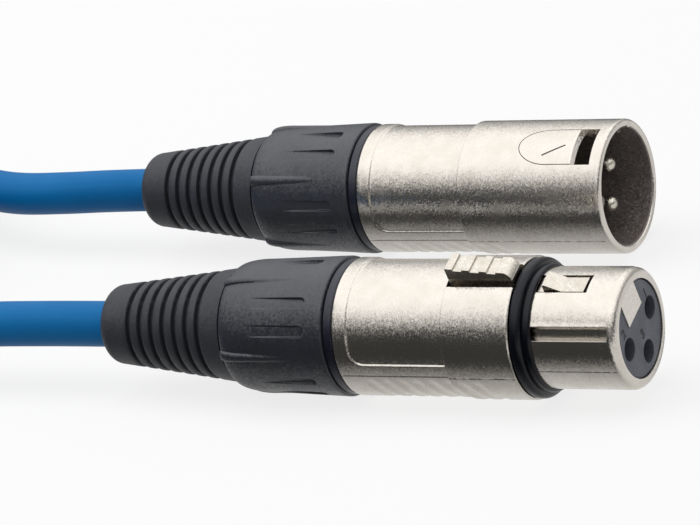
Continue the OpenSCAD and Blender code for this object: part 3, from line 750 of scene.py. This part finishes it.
@dataclass
class Cable:
    """The free cable: out of the male boot, round the coil, and into the female boot."""

    diameter: float = 6.3
    axis_height: float = 9.45
    male_exit: tuple[float, float] = (-50.75, 25.0)
    female_exit: tuple[float, float] = (-28.75, -25.0)
    centre: tuple[float, float] = (-124.0, 0.0)
    outer_radius: float = 43.0
    pitch: float = 6.8
    half_turns: float = 3.25
    low: float = 4.15
    straight: float = 7.0
    sides: int = 28
    male_route: tuple = (
        (-59, 25, 9.3), (-67, 25.1, 9), (-75, 25.8, 8.7), (-82, 28, 8.6),
        (-89, 31.8, 8.8), (-96, 36.2, 9.3), (-103, 40, 10), (-110, 42.4, 10.7),
    )
    female_route: tuple = (
        (-41, -25, 9.4), (-52, -25, 9.1), (-62, -25.8, 8.2), (-71, -28, 7),
        (-80, -31.8, 5.8), (-89, -36.2, 4.9), (-98, -40, 4.4), (-107, -42.4, 4.2),
    )

    def coil(self, u: Array) -> Array:
        """Centreline after u turns: the radius falls by the pitch each turn and rises again, and the height
        climbs one layer in the half turn where that reverses.

        Args:
            u: Turns from the front of the coil.

        Returns:
            Points in millimetres.
        """
        inward = self.half_turns - np.abs(u - self.half_turns)
        r = self.outer_radius - self.pitch * inward
        climb = ease(u - self.half_turns, -0.25, 0.25)
        a = np.radians(270 - 360 * u)
        x, y = self.centre[0] + r * np.cos(a), self.centre[1] + r * np.sin(a)
        return np.stack([x, y, self.low + self.pitch * climb], axis=1)

    def centreline(self) -> Array:
        """Whole route from the male boot to the female boot, in millimetres."""
        turns = 2 * self.half_turns
        wound = self.coil(np.linspace(turns, 0, int(turns * 72) + 1))
        out = np.array([self.straight, 0.0, 0.0])
        start = np.array([*self.male_exit, self.axis_height])
        end = np.array([*self.female_exit, self.axis_height])
        back = np.array([6.0, 0.0, 0.0])
        first = np.array([start + back, start, *self.male_route, wound[0] + out, wound[0], wound[1]])
        last = np.array([wound[-2], wound[-1], wound[-1] + out, *self.female_route[::-1], end, end + back])
        return np.concatenate([catmull(first, 6)[:-1], wound, catmull(last, 6)[1:]])

    def build(self, tie: bpy.types.Object) -> None:
        """Round each point of the centreline stands a ring square to it: c + r (cos b side + sin b up).

        Args:
            tie: The tie round the coil. Not used.
        """
        path = self.centreline()
        ahead = np.gradient(path, axis=0)
        ahead /= np.linalg.norm(ahead, axis=1, keepdims=True)
        side = np.cross(ahead, [0.0, 0.0, 1.0])
        side /= np.linalg.norm(side, axis=1, keepdims=True)
        up = np.cross(side, ahead)
        b = np.linspace(0, 2 * math.pi, self.sides, endpoint=False)[None, :, None]
        r = self.diameter / 2
        rings = path[:, None] + r * (np.cos(b) * side[:, None] + np.sin(b) * up[:, None])
        rows = len(path)
        hubs = np.array([path[0], path[-1]])
        count = rows * self.sides
        caps = [fan(self.sides, 0, count), fan(self.sides, count - self.sides, count + 1)]
        faces = np.concatenate([loop_faces(rows, self.sides), *caps])
        surface = Surface(np.concatenate([rings.reshape(-1, 3), hubs]), faces)
        piece = make_piece(
            "blue_cable", surface, lambda p: p * MM, JACKET, "connectors",
            ("male_lead", "cable_coil", "female_lead"), sharp=60,
        )


@dataclass
class Tie:
    """Hook-and-loop strap round the turns on the far side of the coil."""

    cable: Cable
    width: float = 12.0
    thickness: float = 1.0

    def build(self) -> bpy.types.Object:
        """Carries the strap's section round the turns: two rounded rectangles with a wall between them.

        Returns:
            The strap.
        """
        c = self.cable
        r = c.diameter / 2
        outer = c.centre[0] - c.outer_radius - r + c.pitch / 4 - 0.3
        inner = c.centre[0] - c.outer_radius + c.pitch * c.half_turns + r + 1.6
        top = c.low + c.pitch + r + 0.3
        t = self.thickness
        wall = [
            self.rounded(outer - t + 0.05, inner + t - 0.05, 0.05, top + t - 0.05, 3.9),
            self.rounded(outer, inner, t, top, 3.0),
        ]
        half = self.width / 2 - 0.1
        edge = 0.25
        mid = (wall[0] + wall[1]) / 2
        near = half - edge
        outside, inside = wall
        order = (
            (outside, -near), (outside, near), (mid, half), (inside, near), (inside, -near), (mid, -half),
        )
        rings = [np.stack([xz[:, 0], np.full(len(xz), y), xz[:, 1]], axis=1) for xz, y in order]
        strap = Surface(np.concatenate(rings), loop_faces(6, len(mid), closed_rows=True))
        return make_piece(
            "coil_strap", strap, lambda p: p * MM, TIE_FABRIC, "connectors", ("coil_tie",), sharp=80
        )

    @staticmethod
    def rounded(x0: float, x1: float, z0: float, z1: float, r: float, steps: int = 10) -> Array:
        """Rectangle with corner arcs of radius r, as points (x, z) in order."""
        corners = ((x1 - r, z1 - r, 0), (x0 + r, z1 - r, 90), (x0 + r, z0 + r, 180), (x1 - r, z0 + r, 270))
        return np.concatenate([arc(x, z, r, r, a, a + 90, steps) for x, z, a in corners])


# ---- connectors ----


class Line:
    """Stations along a connector, from the rear end of its boot. Each name says what starts or ends there."""

    boot = 21.0
    nut_len = 16.3
    neck = boot + 4.8
    ring = boot + nut_len
    shell = ring + 1.5
    panel = shell + 2.1
    front = panel + 14.0
    male_end = front + 22.4
    mouth = male_end - 17.0
    seal = front + 10.0
    nose = seal + 2.6
    female_end = nose + 12.0


@dataclass(frozen=True)
class Placement:
    """Where a connector lies: rear end of the boot, axis and roll towards the camera's side."""

    rear_x: float
    axis_y: float
    roll: float
    axis_z: float = 9.45

    def world(self, points: Array) -> Array:
        """Turns points about the X axis by the roll, moves them to the axis, and gives metres."""
        a = math.radians(self.roll)
        s, y, z = points.T
        return np.stack(
            [
                self.rear_x + s,
                self.axis_y + y * math.cos(a) - z * math.sin(a),
                self.axis_z + y * math.sin(a) + z * math.cos(a),
            ],
            axis=1,
        ) * MM


@dataclass
class Boot:
    """Tapered rubber boot with bending grooves."""

    length: float = Line.boot
    rear_r: float = 5.25
    front_r: float = 7.85
    round_r: float = 1.9
    grooves: int = 7
    first: float = 4.9
    pitch: float = 1.95
    groove_w: float = 0.8
    groove_depth: float = 0.75
    lip_depth: float = 0.08
    hole_r: float = 3.3
    flange_from: float = 2.3
    flange_to: float = 4.2
    flange_r: float = 8.25

    def surface(self) -> Surface:
        """Turns the boot's profile: r = rear + slope s, less the grooves with their rounded lips.

        Returns:
            The closed surface.
        """
        slope = (self.front_r - self.rear_r) / self.length
        grooved = self.first + self.grooves * self.pitch
        s = spaced([
            (self.round_r, self.first - 0.3, 0.25), (self.first - 0.3, grooved, 0.05),
            (grooved, self.length - 0.5, 0.3),
        ])
        r = self.rear_r + slope * s
        at = self.first + self.groove_w / 2 + self.pitch * np.arange(self.grooves)
        far = np.abs(s[:, None] - at[None, :]).min(axis=1)
        half = self.groove_w / 2
        r = r - self.groove_depth * (1 - ease(far, half - 0.09, half + 0.02))
        r = r - self.lip_depth * (1 - ease(far, half, half + 0.35))
        centre = self.rear_r + slope * self.round_r - self.round_r
        rear = arc(self.round_r, centre, self.round_r, self.round_r, 180, 90, 14)
        lip = self.length
        front = [
            (lip - 0.42, self.front_r - 0.03), (lip - 0.34, self.front_r - 0.3), (lip, self.front_r - 0.3),
            (lip + 0.05, self.front_r - 0.02), (lip + self.flange_from, self.front_r - 0.02),
            (lip + self.flange_from, self.flange_r), (lip + self.flange_to, self.flange_r),
            (lip + self.flange_to, self.hole_r),
        ]
        hole = [(0.35, self.hole_r), (0.08, self.hole_r + 0.2)]
        return revolve(np.concatenate([rear, np.column_stack([s, r])[1:], front, hole]))


@dataclass
class Nut:
    """Screw-on nut with a rounded shoulder, long tapering fins and short slots."""

    turn: float
    start: float = Line.boot
    length: float = Line.nut_len
    shoulder: float = 4.0
    throat_r: float = 7.95
    shoulder_r: float = 8.95
    front_r: float = 9.4
    pocket_r: float = 8.35
    throat: float = 2.2
    groups: int = 5
    fin_len: float = 11.4
    fin_w: float = 1.5
    fin_height: float = 0.5
    slot_len: float = 7.8
    slot_w: float = 1.55
    slot_depth: float = 0.5
    slot_margin: float = 2.75

    def outside(self, s: Array) -> Array:
        """Outer radius at a station: a quarter ellipse over the shoulder, then a straight taper."""
        t = np.clip((self.start + self.shoulder - s) / self.shoulder, 0, 1)
        rise = self.shoulder_r - self.throat_r - 0.12
        dome = self.throat_r + 0.12 + rise * np.sqrt(np.clip(1 - t * t, 0, 1))
        past = (s - self.start - self.shoulder) / (self.length - self.shoulder)
        taper = (self.front_r - self.shoulder_r) * past
        return np.where(past < 0, dome, self.shoulder_r + taper)

    def surface(self) -> Surface:
        """Height field over the nut: fins stand on it and slots are sunk into it.

        Returns:
            The closed surface.
        """
        end = self.start + self.length
        head = end - self.slot_margin - self.slot_w / 2
        s = np.concatenate([
            self.start + self.shoulder * (1 - np.cos(np.radians(np.linspace(0, 90, 26)))),
            spaced([
                (self.start + self.shoulder + 0.15, head - 0.4, 0.3), (head - 0.4, head + 1.0, 0.07),
                (head + 1.0, end - 0.3, 0.4),
            ]),
            [end - 0.2, end - 0.08, end],
        ])
        s = np.unique(np.round(s, 4))
        part = 360 / self.groups / 3
        half = spaced([(0, 3.6, 0.9), (3.6, 5.4, 0.22), (5.4, part / 2, 1.1)])
        sector = np.concatenate([-half[:0:-1], half[:-1]])
        angles = (part * np.arange(3 * self.groups)[:, None] + sector[None, :]).ravel()
        base = self.outside(s)
        base = base - np.interp(s, [end - 0.3, end - 0.2, end - 0.08, end], [0, 0.02, 0.1, 0.3])
        r = np.repeat(base[:, None], len(angles), axis=1)
        step = 360 / self.groups
        for offset, is_fin in ((0, True), (part, False), (2 * part, False)):
            turn = (angles - offset + step / 2) % step - step / 2
            w = np.radians(turn)[None, :] * base[:, None]
            along = s[:, None] + 0 * w
            r = r + (self.fin(along, w) if is_fin else -self.slot(along, w))
        pocket = self.start + self.throat
        inner = np.interp(s, [pocket, pocket + 0.01], [self.throat_r, self.pocket_r])
        inner = np.repeat(inner[:, None], len(angles), axis=1)
        return sleeve(s, angles - self.turn, r, inner, np.zeros((len(s) - 1, len(angles)), bool))

    def fin(self, s: Array, w: Array) -> Array:
        """Height of a fin at station s, w from its middle: a round back that narrows and sinks forwards."""
        left = np.clip(1 - (s - self.start) / self.fin_len, 0, 1)
        half = self.fin_w / 2 * np.sqrt(left) + 1e-6
        return self.fin_height * left * np.sqrt(np.clip(1 - (w / half) ** 2, 0, 1))

    def slot(self, s: Array, w: Array) -> Array:
        """Depth of a slot at station s and sideways distance w."""
        half = self.slot_w / 2
        head = self.start + self.length - self.slot_margin - half
        past = np.maximum(s - head, 0)
        away = np.hypot(past, w) - half
        depth = self.slot_depth * np.clip(1 + (s - head) / self.slot_len, 0, 1)
        return depth * (1 - ease(away, -0.11, 0.03))


@dataclass
class Shell:
    """What the two nickel-plated shells share: neck, band, smooth panel and finger ridges."""

    place: Placement
    neck_r: float = 8.15
    rear_r: float = 9.2
    front_r: float = 9.45
    bore_r: float = 7.4
    panel_depth: float = 0.25
    panel_edge: float = 1.4
    panel_round: float = 2.0
    ridges: int = 8
    ridge_pitch: float = 2.25
    ridge_depth: float = 0.48
    ridge_lean: float = 14.0
    ridge_first: float = 1.6
    scallop_r: float = 1.4
    parting_angle: float = 92.0
    parting_depth: float = 0.07

    def angles(self, edges: Sequence[float]) -> Array:
        """Angles round the axis, close together where the outlines run.

        Args:
            edges: Angles of straight edges that the grid has to meet.

        Returns:
            Sorted angles from -180 to 180 degrees, in degrees.
        """
        half = [
            (0, 26, 1.3), (26, 45, 2.4), (45, 61, 0.75), (61, 76, 2.0), (76, 79, 1.0), (79, 83, 0.3),
            (83, 90.5, 1.5), (90.5, 93.5, 0.25), (93.5, 180, 3.2),
        ]
        lines = spaced([*half, *[(-b, -a, step) for a, b, step in half]])
        lines = lines[np.abs(lines[:, None] - np.array(edges)[None, :]).min(axis=1) > 0.2]
        return np.unique(np.round(np.concatenate([lines[lines > -179.9], edges]), 5))

    def rear_stations(self) -> Array:
        """Stations from the neck to the front part."""
        return spaced([
            (Line.neck, Line.ring, 0.5), (Line.shell - 0.01, Line.shell, 0.01),
            (Line.shell, Line.shell + 0.2, 0.05),
            (Line.shell + 0.2, Line.panel - 0.15, 0.4), (Line.panel - 0.15, Line.panel + 2.4, 0.09),
            (Line.panel + 2.4, Line.front - 0.3, 0.26), (Line.front - 0.05, Line.front + 0.35, 0.05),
            (Line.front + 0.35, Line.front + 5.0, 0.26),
        ])

    @staticmethod
    def rounding(s: Array, start: float, radius: float) -> Array:
        """How far a quarter-round edge that begins at start has fallen at each station."""
        past = np.clip((s - start) / radius, 0, 1)
        return radius * (1 - np.sqrt(1 - past * past))

    @staticmethod
    def midway(angles: Array) -> Array:
        """Distance from the latch side, in degrees, of the middle of each cell round the axis."""
        following = np.append(angles[1:], angles[0] + 360)
        middle = (angles + following) / 2
        return np.abs((middle + 180) % 360 - 180)[None, :]

    def outer_radius(self, s: Array, angle: Array) -> Array:
        """Outer radius of the rear part and, after a short chamfer, of the front part, without its end."""
        r = self.rear_radius(s, angle)
        r = np.where(s > Line.front, np.minimum(self.front_r, r + (s - Line.front) * 2.0), r)
        return np.where(s > Line.front + 0.3, self.front_r, r) - self.scallops(s, angle)

    def parting(self, s: Array, angle: Array) -> Array:
        """Depth of the mould's parting line: a fine groove along each side, broken in front.

        Args:
            s: Stations, n by m.
            angle: Angles in degrees, n by m.

        Returns:
            Depths, n by m.
        """
        away = np.abs(np.abs(angle) - self.parting_angle)
        broken = np.where((s > Line.front) & (np.sin(5.3 * s) + np.sin(8.9 * s) < -0.2), 0.2, 1.0)
        return self.parting_depth * broken * (1 - ease(away, 0.3, 0.8)) * (s > Line.shell + 0.3)

    def rear_radius(self, s: Array, angle: Array) -> Array:
        """Outer radius of the rear part.

        The panel lies inside the outline z > panel_edge, s > panel, with its lower corner rounded, and is
        sunk by panel_depth with soft walls.

        Args:
            s: Stations, n by m.
            angle: Angles in degrees, n by m.

        Returns:
            Radii, n by m.
        """
        r = np.where(s < Line.shell - 0.005, self.neck_r, self.rear_r)
        thread = 0.25 * np.abs(((s - Line.neck) % 1.0) * 2 - 1)
        r = r - np.where(s < Line.ring - 1, thread, 0)
        r = r - 0.2 * (1 - ease(s, Line.shell, Line.shell + 0.2)) * (s > Line.shell - 0.005)
        z = self.rear_r * np.cos(np.radians(angle))
        corner = self.panel_round
        ds, dz = Line.panel + corner - s, self.panel_edge + corner - z
        outside = np.hypot(np.maximum(ds, 0), np.maximum(dz, 0)) + np.minimum(np.maximum(ds, dz), 0) - corner
        sunk = 1 - ease(outside, -0.2, 0.1)
        return r - self.panel_depth * sunk * (s <= Line.front + 0.4)

    def scallops(self, s: Array, angle: Array) -> Array:
        """Depth of the scallops between the finger ridges, below the parting line.

        Each is cut by a leaning ring of round section: the depth is the ring's radius less the distance to its
        centre circle.

        Args:
            s: Stations, n by m.
            angle: Angles in degrees, n by m.

        Returns:
            Depths, n by m.
        """
        a = np.radians(angle)
        z, y = self.rear_r * np.cos(a), self.rear_r * np.sin(a)
        lean = math.radians(self.ridge_lean)
        reach = self.rear_r / math.cos(lean) + self.scallop_r - self.ridge_depth
        groove = np.zeros_like(a)
        for i in range(self.ridges):
            dx, up = s - (Line.panel + self.ridge_first + i * self.ridge_pitch), z
            along = dx * math.cos(lean) + up * math.sin(lean)
            level = up * math.cos(lean) - dx * math.sin(lean)
            away = np.hypot(np.hypot(level, y) - reach, along)
            groove = np.maximum(groove, self.scallop_r - away)
        return np.maximum(groove, 0) * (1 - ease(z, -2.0, -1.0)) * (s > Line.panel)


@dataclass
class MaleShell(Shell):
    """Male shell: mouth with two key ribs, catch window and an engraved tongue."""

    length: float = Line.male_end
    mouth_r: float = 8.2
    rim: float = 0.5
    window_back: float = 1.7
    window_len: float = 2.9
    window_w: float = 6.3
    tongue_len: float = 8.6
    tongue_taper: float = 1.5
    line_w: float = 0.12
    index_w: float = 0.24
    index_from: tuple[float, float] = (3.9, -1.7)
    index_to: tuple[float, float] = (7.2, -0.05)
    rib_r: float = 0.75
    rib_angle: float = 53.0
    notch: float = 0.45

    def build(self) -> bpy.types.Object:
        """Makes the shell as a height field with its window cut out."""
        edge = math.degrees(math.asin(self.window_w / 2 / self.front_r))
        angles = self.angles([-edge, edge])
        end = self.length - self.window_back
        start = end - self.window_len
        round_start = self.length - self.rim
        rim = round_start + self.rim * np.sin(np.radians(np.linspace(0, 90, 9)))
        tongue = start - self.tongue_len
        stations = np.unique(np.round(np.concatenate([
            self.rear_stations(),
            spaced([(Line.front + 0.35, Line.mouth - 1, 0.7), (Line.mouth - 1.01, Line.mouth - 1, 0.01),
                    (Line.mouth, Line.mouth + 0.01, 0.01), (Line.mouth + 0.01, tongue - 0.3, 0.5),
                    (tongue - 0.3, start, 0.5), (start, end, 0.5),
                    (end, round_start, 0.2), (self.length - 1.51, self.length - 1.5, 0.01)]),
            rim,
        ]), 4))
        s, a = np.meshgrid(stations, angles, indexing="ij")
        outer = self.outer_radius(s, a) - self.rounding(s, round_start, self.rim) - self.parting(s, a)
        wall = (
            (Line.mouth - 1.01, self.bore_r), (Line.mouth - 1, self.bore_r - 0.5),
            (Line.mouth, self.bore_r - 0.5), (Line.mouth + 0.01, self.mouth_r),
            (self.length - 0.3, self.mouth_r), (self.length, self.mouth_r + 0.3),
        )
        inner = np.interp(stations, *zip(*wall))[:, None] + 0 * a
        side = np.radians(np.abs(a) - self.rib_angle) * self.mouth_r
        far = a > 0
        end_of_rib = np.where(far, self.length - 1.5, self.length - 0.02)
        rib = np.sqrt(np.maximum(self.rib_r**2 - side**2, 0)) * (s < end_of_rib)
        vee = np.maximum(self.notch - np.abs(side), 0) * (far & (s > self.length - 1.5))
        inner = inner + np.where(s > Line.mouth + 4, vee - rib, 0)
        middle = (s[:-1] + s[1:]) / 2
        holes = (middle > start) & (middle < end) & (self.midway(angles) < edge)
        surface = sleeve(stations, angles, outer, inner, holes)
        shell = make_piece(
            "male_shell_skin", surface, self.place.world, NICKEL, "connectors", ("male_shell",)
        )
        place = self.place
        # The bore's darker, browner nickel is painted shade inside the mouth.
        reline(
            shell, BORE_NICKEL_PAINTED_SHADE, (place.axis_y * MM, place.axis_z * MM), (self.mouth_r + 0.12) * MM,
            (place.rear_x + Line.mouth) * MM,
        )
        self.engrave(tongue, start)
        return shell

    def engrave(self, tongue: float, start: float) -> None:
        """Draws the tongue's outline and the short index line in it, as dark strips: painted shade of engraved
        grooves.

        The outline is half an ellipse, y = h sin b and s = tongue + k h (1 - cos b), and two straight sides.

        Args:
            tongue: Station of the tongue's round end.
            start: Station where it meets the window.
        """
        half = self.window_w / 2 - 0.1
        b = np.radians(np.linspace(-90, 90, 61))
        s = tongue + self.tongue_taper * half * (1 - np.cos(b))
        curve = np.column_stack([s, half * np.sin(b)])
        outline = np.concatenate([[[start, -half]], curve, [[start, half]]])
        index = np.array([tongue, 0.0]) + np.linspace(self.index_from, self.index_to, 12)
        lines = (("tongue_outline", outline, self.line_w), ("index_line", index, self.index_w))
        for name, path, width in lines:
            ahead = np.gradient(path, axis=0)
            ahead /= np.linalg.norm(ahead, axis=1, keepdims=True)
            off = width / 2 * np.column_stack([-ahead[:, 1], ahead[:, 0]])
            edges = [self.wrapped(path + k * off, lift) for lift in (0.006, -0.05) for k in (1, -1)]
            make_piece(name, bar(edges, lids=False), self.place.world, ENGRAVING_SHADE, "connectors")

    def wrapped(self, path: Array, lift: float) -> Array:
        """Lays points (s, y) on the front part, lifted off it by so many millimetres."""
        a = np.arcsin(path[:, 1] / self.front_r)
        r = self.front_r + lift
        return np.column_stack([path[:, 0], r * np.sin(a), r * np.cos(a)])


@dataclass
class FemaleShell(Shell):
    """Female shell: nose with key grooves, tab window, catch window and the key at the face."""

    length: float = Line.female_end
    nose_r: float = 7.95
    nose_bore_r: float = 6.5
    nose_round: float = 1.0
    step: float = Line.seal - 0.8
    tab_half: float = 2.2
    catch_half: float = 1.65
    catch_end: float = Line.nose + 7.3
    keyway_w: float = 1.6
    keyway_depth: float = 0.65
    keyway_angle: float = 53.0
    keyway_slope: float = 0.22
    keyway_lip: float = 0.09
    key_w: float = 4.7
    key_floor: float = 2.35
    key_len: float = 1.9

    def build(self) -> bpy.types.Object:
        """Makes the shell as a height field with its two windows, and adds the key."""
        tab = math.degrees(math.asin(self.tab_half / self.front_r))
        catch = math.degrees(math.asin(self.catch_half / self.nose_r))
        angles = self.angles([-tab, -catch, catch, tab])
        round_start = self.length - self.nose_round
        rim = round_start + self.nose_round * np.sin(np.radians(np.linspace(0, 90, 10)))
        stations = np.unique(np.round(np.concatenate([
            self.rear_stations(),
            [Line.front],
            spaced([(Line.front + 0.35, self.step - 0.01, 0.6), (self.step - 0.01, self.step, 0.01),
                    (self.step, Line.seal - 0.2, 0.3), (Line.seal - 0.2, Line.seal - 0.01, 0.05),
                    (Line.seal - 0.01, Line.seal, 0.01), (Line.seal, self.catch_end, 0.45),
                    (self.catch_end, round_start - 0.4, 0.45), (round_start - 0.4, round_start, 0.08)]),
            rim,
        ]), 4))
        s, a = np.meshgrid(stations, angles, indexing="ij")
        outer = self.outer_radius(s, a)
        outer = outer - 0.15 * ease(s, Line.seal - 0.2, Line.seal - 0.01)
        nose = self.nose_r - self.rounding(s, round_start, self.nose_round)
        side = np.radians(np.abs(a) - self.keyway_angle) * self.nose_r
        half = self.keyway_w / 2
        open_end = 1 - ease(s, round_start - 0.35, round_start - 0.1)
        tilt = self.keyway_depth + self.keyway_slope * side
        floor = self.nose_r - tilt * open_end * (1 - ease(np.abs(side), half - 0.12, half + 0.05))
        bead = np.exp(-(((side + half + 0.2) / 0.22) ** 2))
        floor = floor + self.keyway_lip * open_end * bead
        nose = nose + self.keyway_lip * open_end * bead
        outer = np.where(s > Line.seal - 0.005, np.minimum(nose, floor), outer) - self.parting(s, a)
        bores = [self.bore_r, self.nose_bore_r]
        inner = np.interp(stations, [self.step - 0.01, self.step], bores)[:, None] + 0 * a
        middle = (s[:-1] + s[1:]) / 2
        away = self.midway(angles)
        holes = ((middle > Line.front) & (middle < Line.seal) & (away < tab)) | (
            (middle >= Line.seal) & (middle < self.catch_end) & (away < catch)
        )
        surface = sleeve(stations, angles, outer, inner, holes)
        return make_piece(
            "female_shell_skin", surface.joined(self.key()), self.place.world, NICKEL, "connectors",
            ("female_shell",),
        )

    def key(self) -> Surface:
        """The key that closes the latch channel: a block up to the nose's bore, with its top along the bore."""
        reach = self.nose_bore_r + 0.1
        a = math.asin(self.key_w / 2 / reach)
        top = np.linspace(a, -a, 12)
        section = np.concatenate([
            [[-self.key_w / 2, self.key_floor], [self.key_w / 2, self.key_floor]],
            np.column_stack([reach * np.sin(top), reach * np.cos(top)]),
        ])
        return prism(section, self.length - self.key_len, self.length - 0.02)


@dataclass
class TabCap:
    """Finger side of the latch tab: three square ridges and a flat that falls to a rounded front edge."""

    place: Placement
    start: float = Line.front + 0.63
    end: float = Line.seal - 0.15
    half: float = 1.53
    low: float = 9.9
    rear_h: float = 11.7
    front_h: float = 11.05
    depth: float = 0.27
    step: float = 0.07
    ridges: tuple = ((-0.1, 1.1), (2.45, 3.5), (4.9, 5.9), (7.25, 9.3))
    flat: float = 7.25
    edge: float = 8.2
    drop: float = 0.95

    def build(self) -> bpy.types.Object:
        """Runs the top line over ridges and valleys, and closes it across the tab."""
        s = spaced([(self.start, self.end - 0.9, 0.035), (self.end - 0.9, self.end, 0.03)])
        u = s - self.start
        crest = np.zeros_like(s)
        for low, high in self.ridges:
            crest = np.maximum(crest, ease(u, low - self.step, low) * (1 - ease(u, high, high + self.step)))
        top = np.interp(u, [0.0, self.flat, self.edge + 0.1], [self.rear_h, self.front_h, self.front_h - 0.05])
        rounded = np.clip((u - self.edge) / (self.end - self.start - self.edge), 0, 1) ** 2
        top = top - self.depth * (1 - crest) - self.drop * rounded
        sides = (self.half, -self.half)
        low = np.full(len(s), self.low)
        surface = bar([np.column_stack([s, np.full(len(s), y), z]) for y in sides for z in (top, low)])
        return make_piece("tab_cap", surface, self.place.world, LATCH_STEEL, "latch")


@dataclass
class FrontRing:
    """Black rubber ring round the female nose."""

    place: Placement
    start: float = Line.seal
    end: float = Line.nose
    radius: float = 9.25
    nose_r: float = 7.95
    drop: float = 0.85
    rear_round: float = 0.45
    front_round: float = 0.75
    bead: float = 0.8
    step_round: float = 0.4

    def build(self) -> bpy.types.Object:
        """Turns the ring's section: a rounded outer bead, and a lower step in front of it."""
        r, low = self.radius, self.radius - self.drop
        rear, front, step = self.rear_round, self.front_round, self.step_round
        dip = self.start + self.bead + front + 0.03
        section = np.concatenate([
            [[self.start, self.nose_r]],
            arc(self.start + rear, r - rear, rear, rear, 180, 90, 8),
            arc(self.start + self.bead, r - front, front, front, 90, 0, 10),
            [[dip, low - 0.08], [dip + 0.12, low]],
            arc(self.end - step, low - step, step, step, 90, 0, 6),
            [[self.end, self.nose_r]],
        ])
        return make_piece(
            "front_ring", revolve(section), self.place.world, FRONT_RUBBER, "connectors",
            ("female_front_ring",),
        )


@dataclass
class Numbers:
    """Contact numbers moulded in the female face."""

    place: Placement
    face: float = Line.female_end - 0.2
    size: float = 1.9
    raised: float = 0.01
    bold: float = 0.09
    spots: tuple = (("1", 4.2, 2.25), ("2", -4.0, 2.6), ("3", 0.15, -1.15))

    def build(self) -> None:
        """Sets each figure flat on the face, upright towards the latch side."""
        for figure, y, z in self.spots:
            curve = bpy.data.curves.new("figure_" + figure, "FONT")
            curve.body = figure
            curve.size = self.size
            curve.extrude = self.raised
            curve.offset = self.bold
            curve.align_x, curve.align_y = "CENTER", "CENTER"
            flat = bpy.data.objects.new("flat", curve)
            bpy.context.scene.collection.objects.link(flat)
            shape = bpy.data.meshes.new_from_object(flat.evaluated_get(bpy.context.evaluated_depsgraph_get()))
            bpy.data.objects.remove(flat)
            count = len(shape.vertices)
            flat_points = np.zeros(count * 3)
            shape.vertices.foreach_get("co", flat_points)
            u, v, depth = flat_points.reshape(-1, 3).T
            points = self.place.world(np.column_stack([self.face + depth, y + u, z + v]))
            shape.vertices.foreach_set("co", points.ravel())
            shape.materials.clear()
            shape.materials.append(WARDROBE.get(NUMBER_MARK))
            piece = bpy.data.objects.new("contact_number_" + figure, shape)
            bpy.context.scene.collection.objects.link(piece)
            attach(piece, "connectors")


@dataclass
class Connector:
    """One connector: its shell, boot and nut, and the finishes of its inner pieces."""

    side: str
    place: Placement
    nut_turn: float
    inner: dict[str, Finish] = field(default_factory=dict)

    def build(self) -> None:
        """Makes the boot and the nut, and dresses the CAD nodes that stay."""
        make_piece(
            self.side + "_boot_skin", Boot().surface(), self.place.world, BOOT_RUBBER, self.side + "_boot_body",
            (self.side + "_boot",), sharp=50,
        )
        make_piece(
            self.side + "_nut_skin", Nut(self.nut_turn).surface(), self.place.world, NUT_NYLON,
            self.side + "_nut_body", (self.side + "_nut",), sharp=50,
        )
        for part, finish in self.inner.items():
            WARDROBE.dress(self.side + "_" + part, finish)


SHARED_PARTS = {
    "ground_spring": GILT, "clamp": ACETAL, "coding_ring": RING_PLASTIC, "cable_end": JACKET,
    "core_hot": CORE_RED, "core_cold": CORE_WHITE, "screen": SILVER,
}


def main() -> None:
    """Builds the studio, the cable and both connectors."""
    logging.basicConfig(level=logging.INFO, format="%(message)s")
    Studio().build()
    cable = Cable()
    cable.build(Tie(cable).build())
    male = Placement(*cable.male_exit, 30.5)
    female = Placement(*cable.female_exit, 20.0)
    contacts = {"contact_%d" % n: SILVER for n in (1, 2, 3)}
    sockets = {"contact_%d" % n: GILT for n in (1, 2, 3)}
    Connector("male", male, 30.0, {**SHARED_PARTS, **contacts, "insert": DARK_POLYESTER}).build()
    Connector("female", female, 4.0, {**SHARED_PARTS, **sockets, "insert": FACE_POLYESTER}).build()
    MaleShell(male).build()
    FemaleShell(female).build()
    TabCap(female).build()
    FrontRing(female).build()
    Numbers(female).build()
    for node in ("latch_lever", "latch_pin", "latch_spring"):
        WARDROBE.dress(node, LATCH_STEEL)


if __name__ == "__main__":
    main()
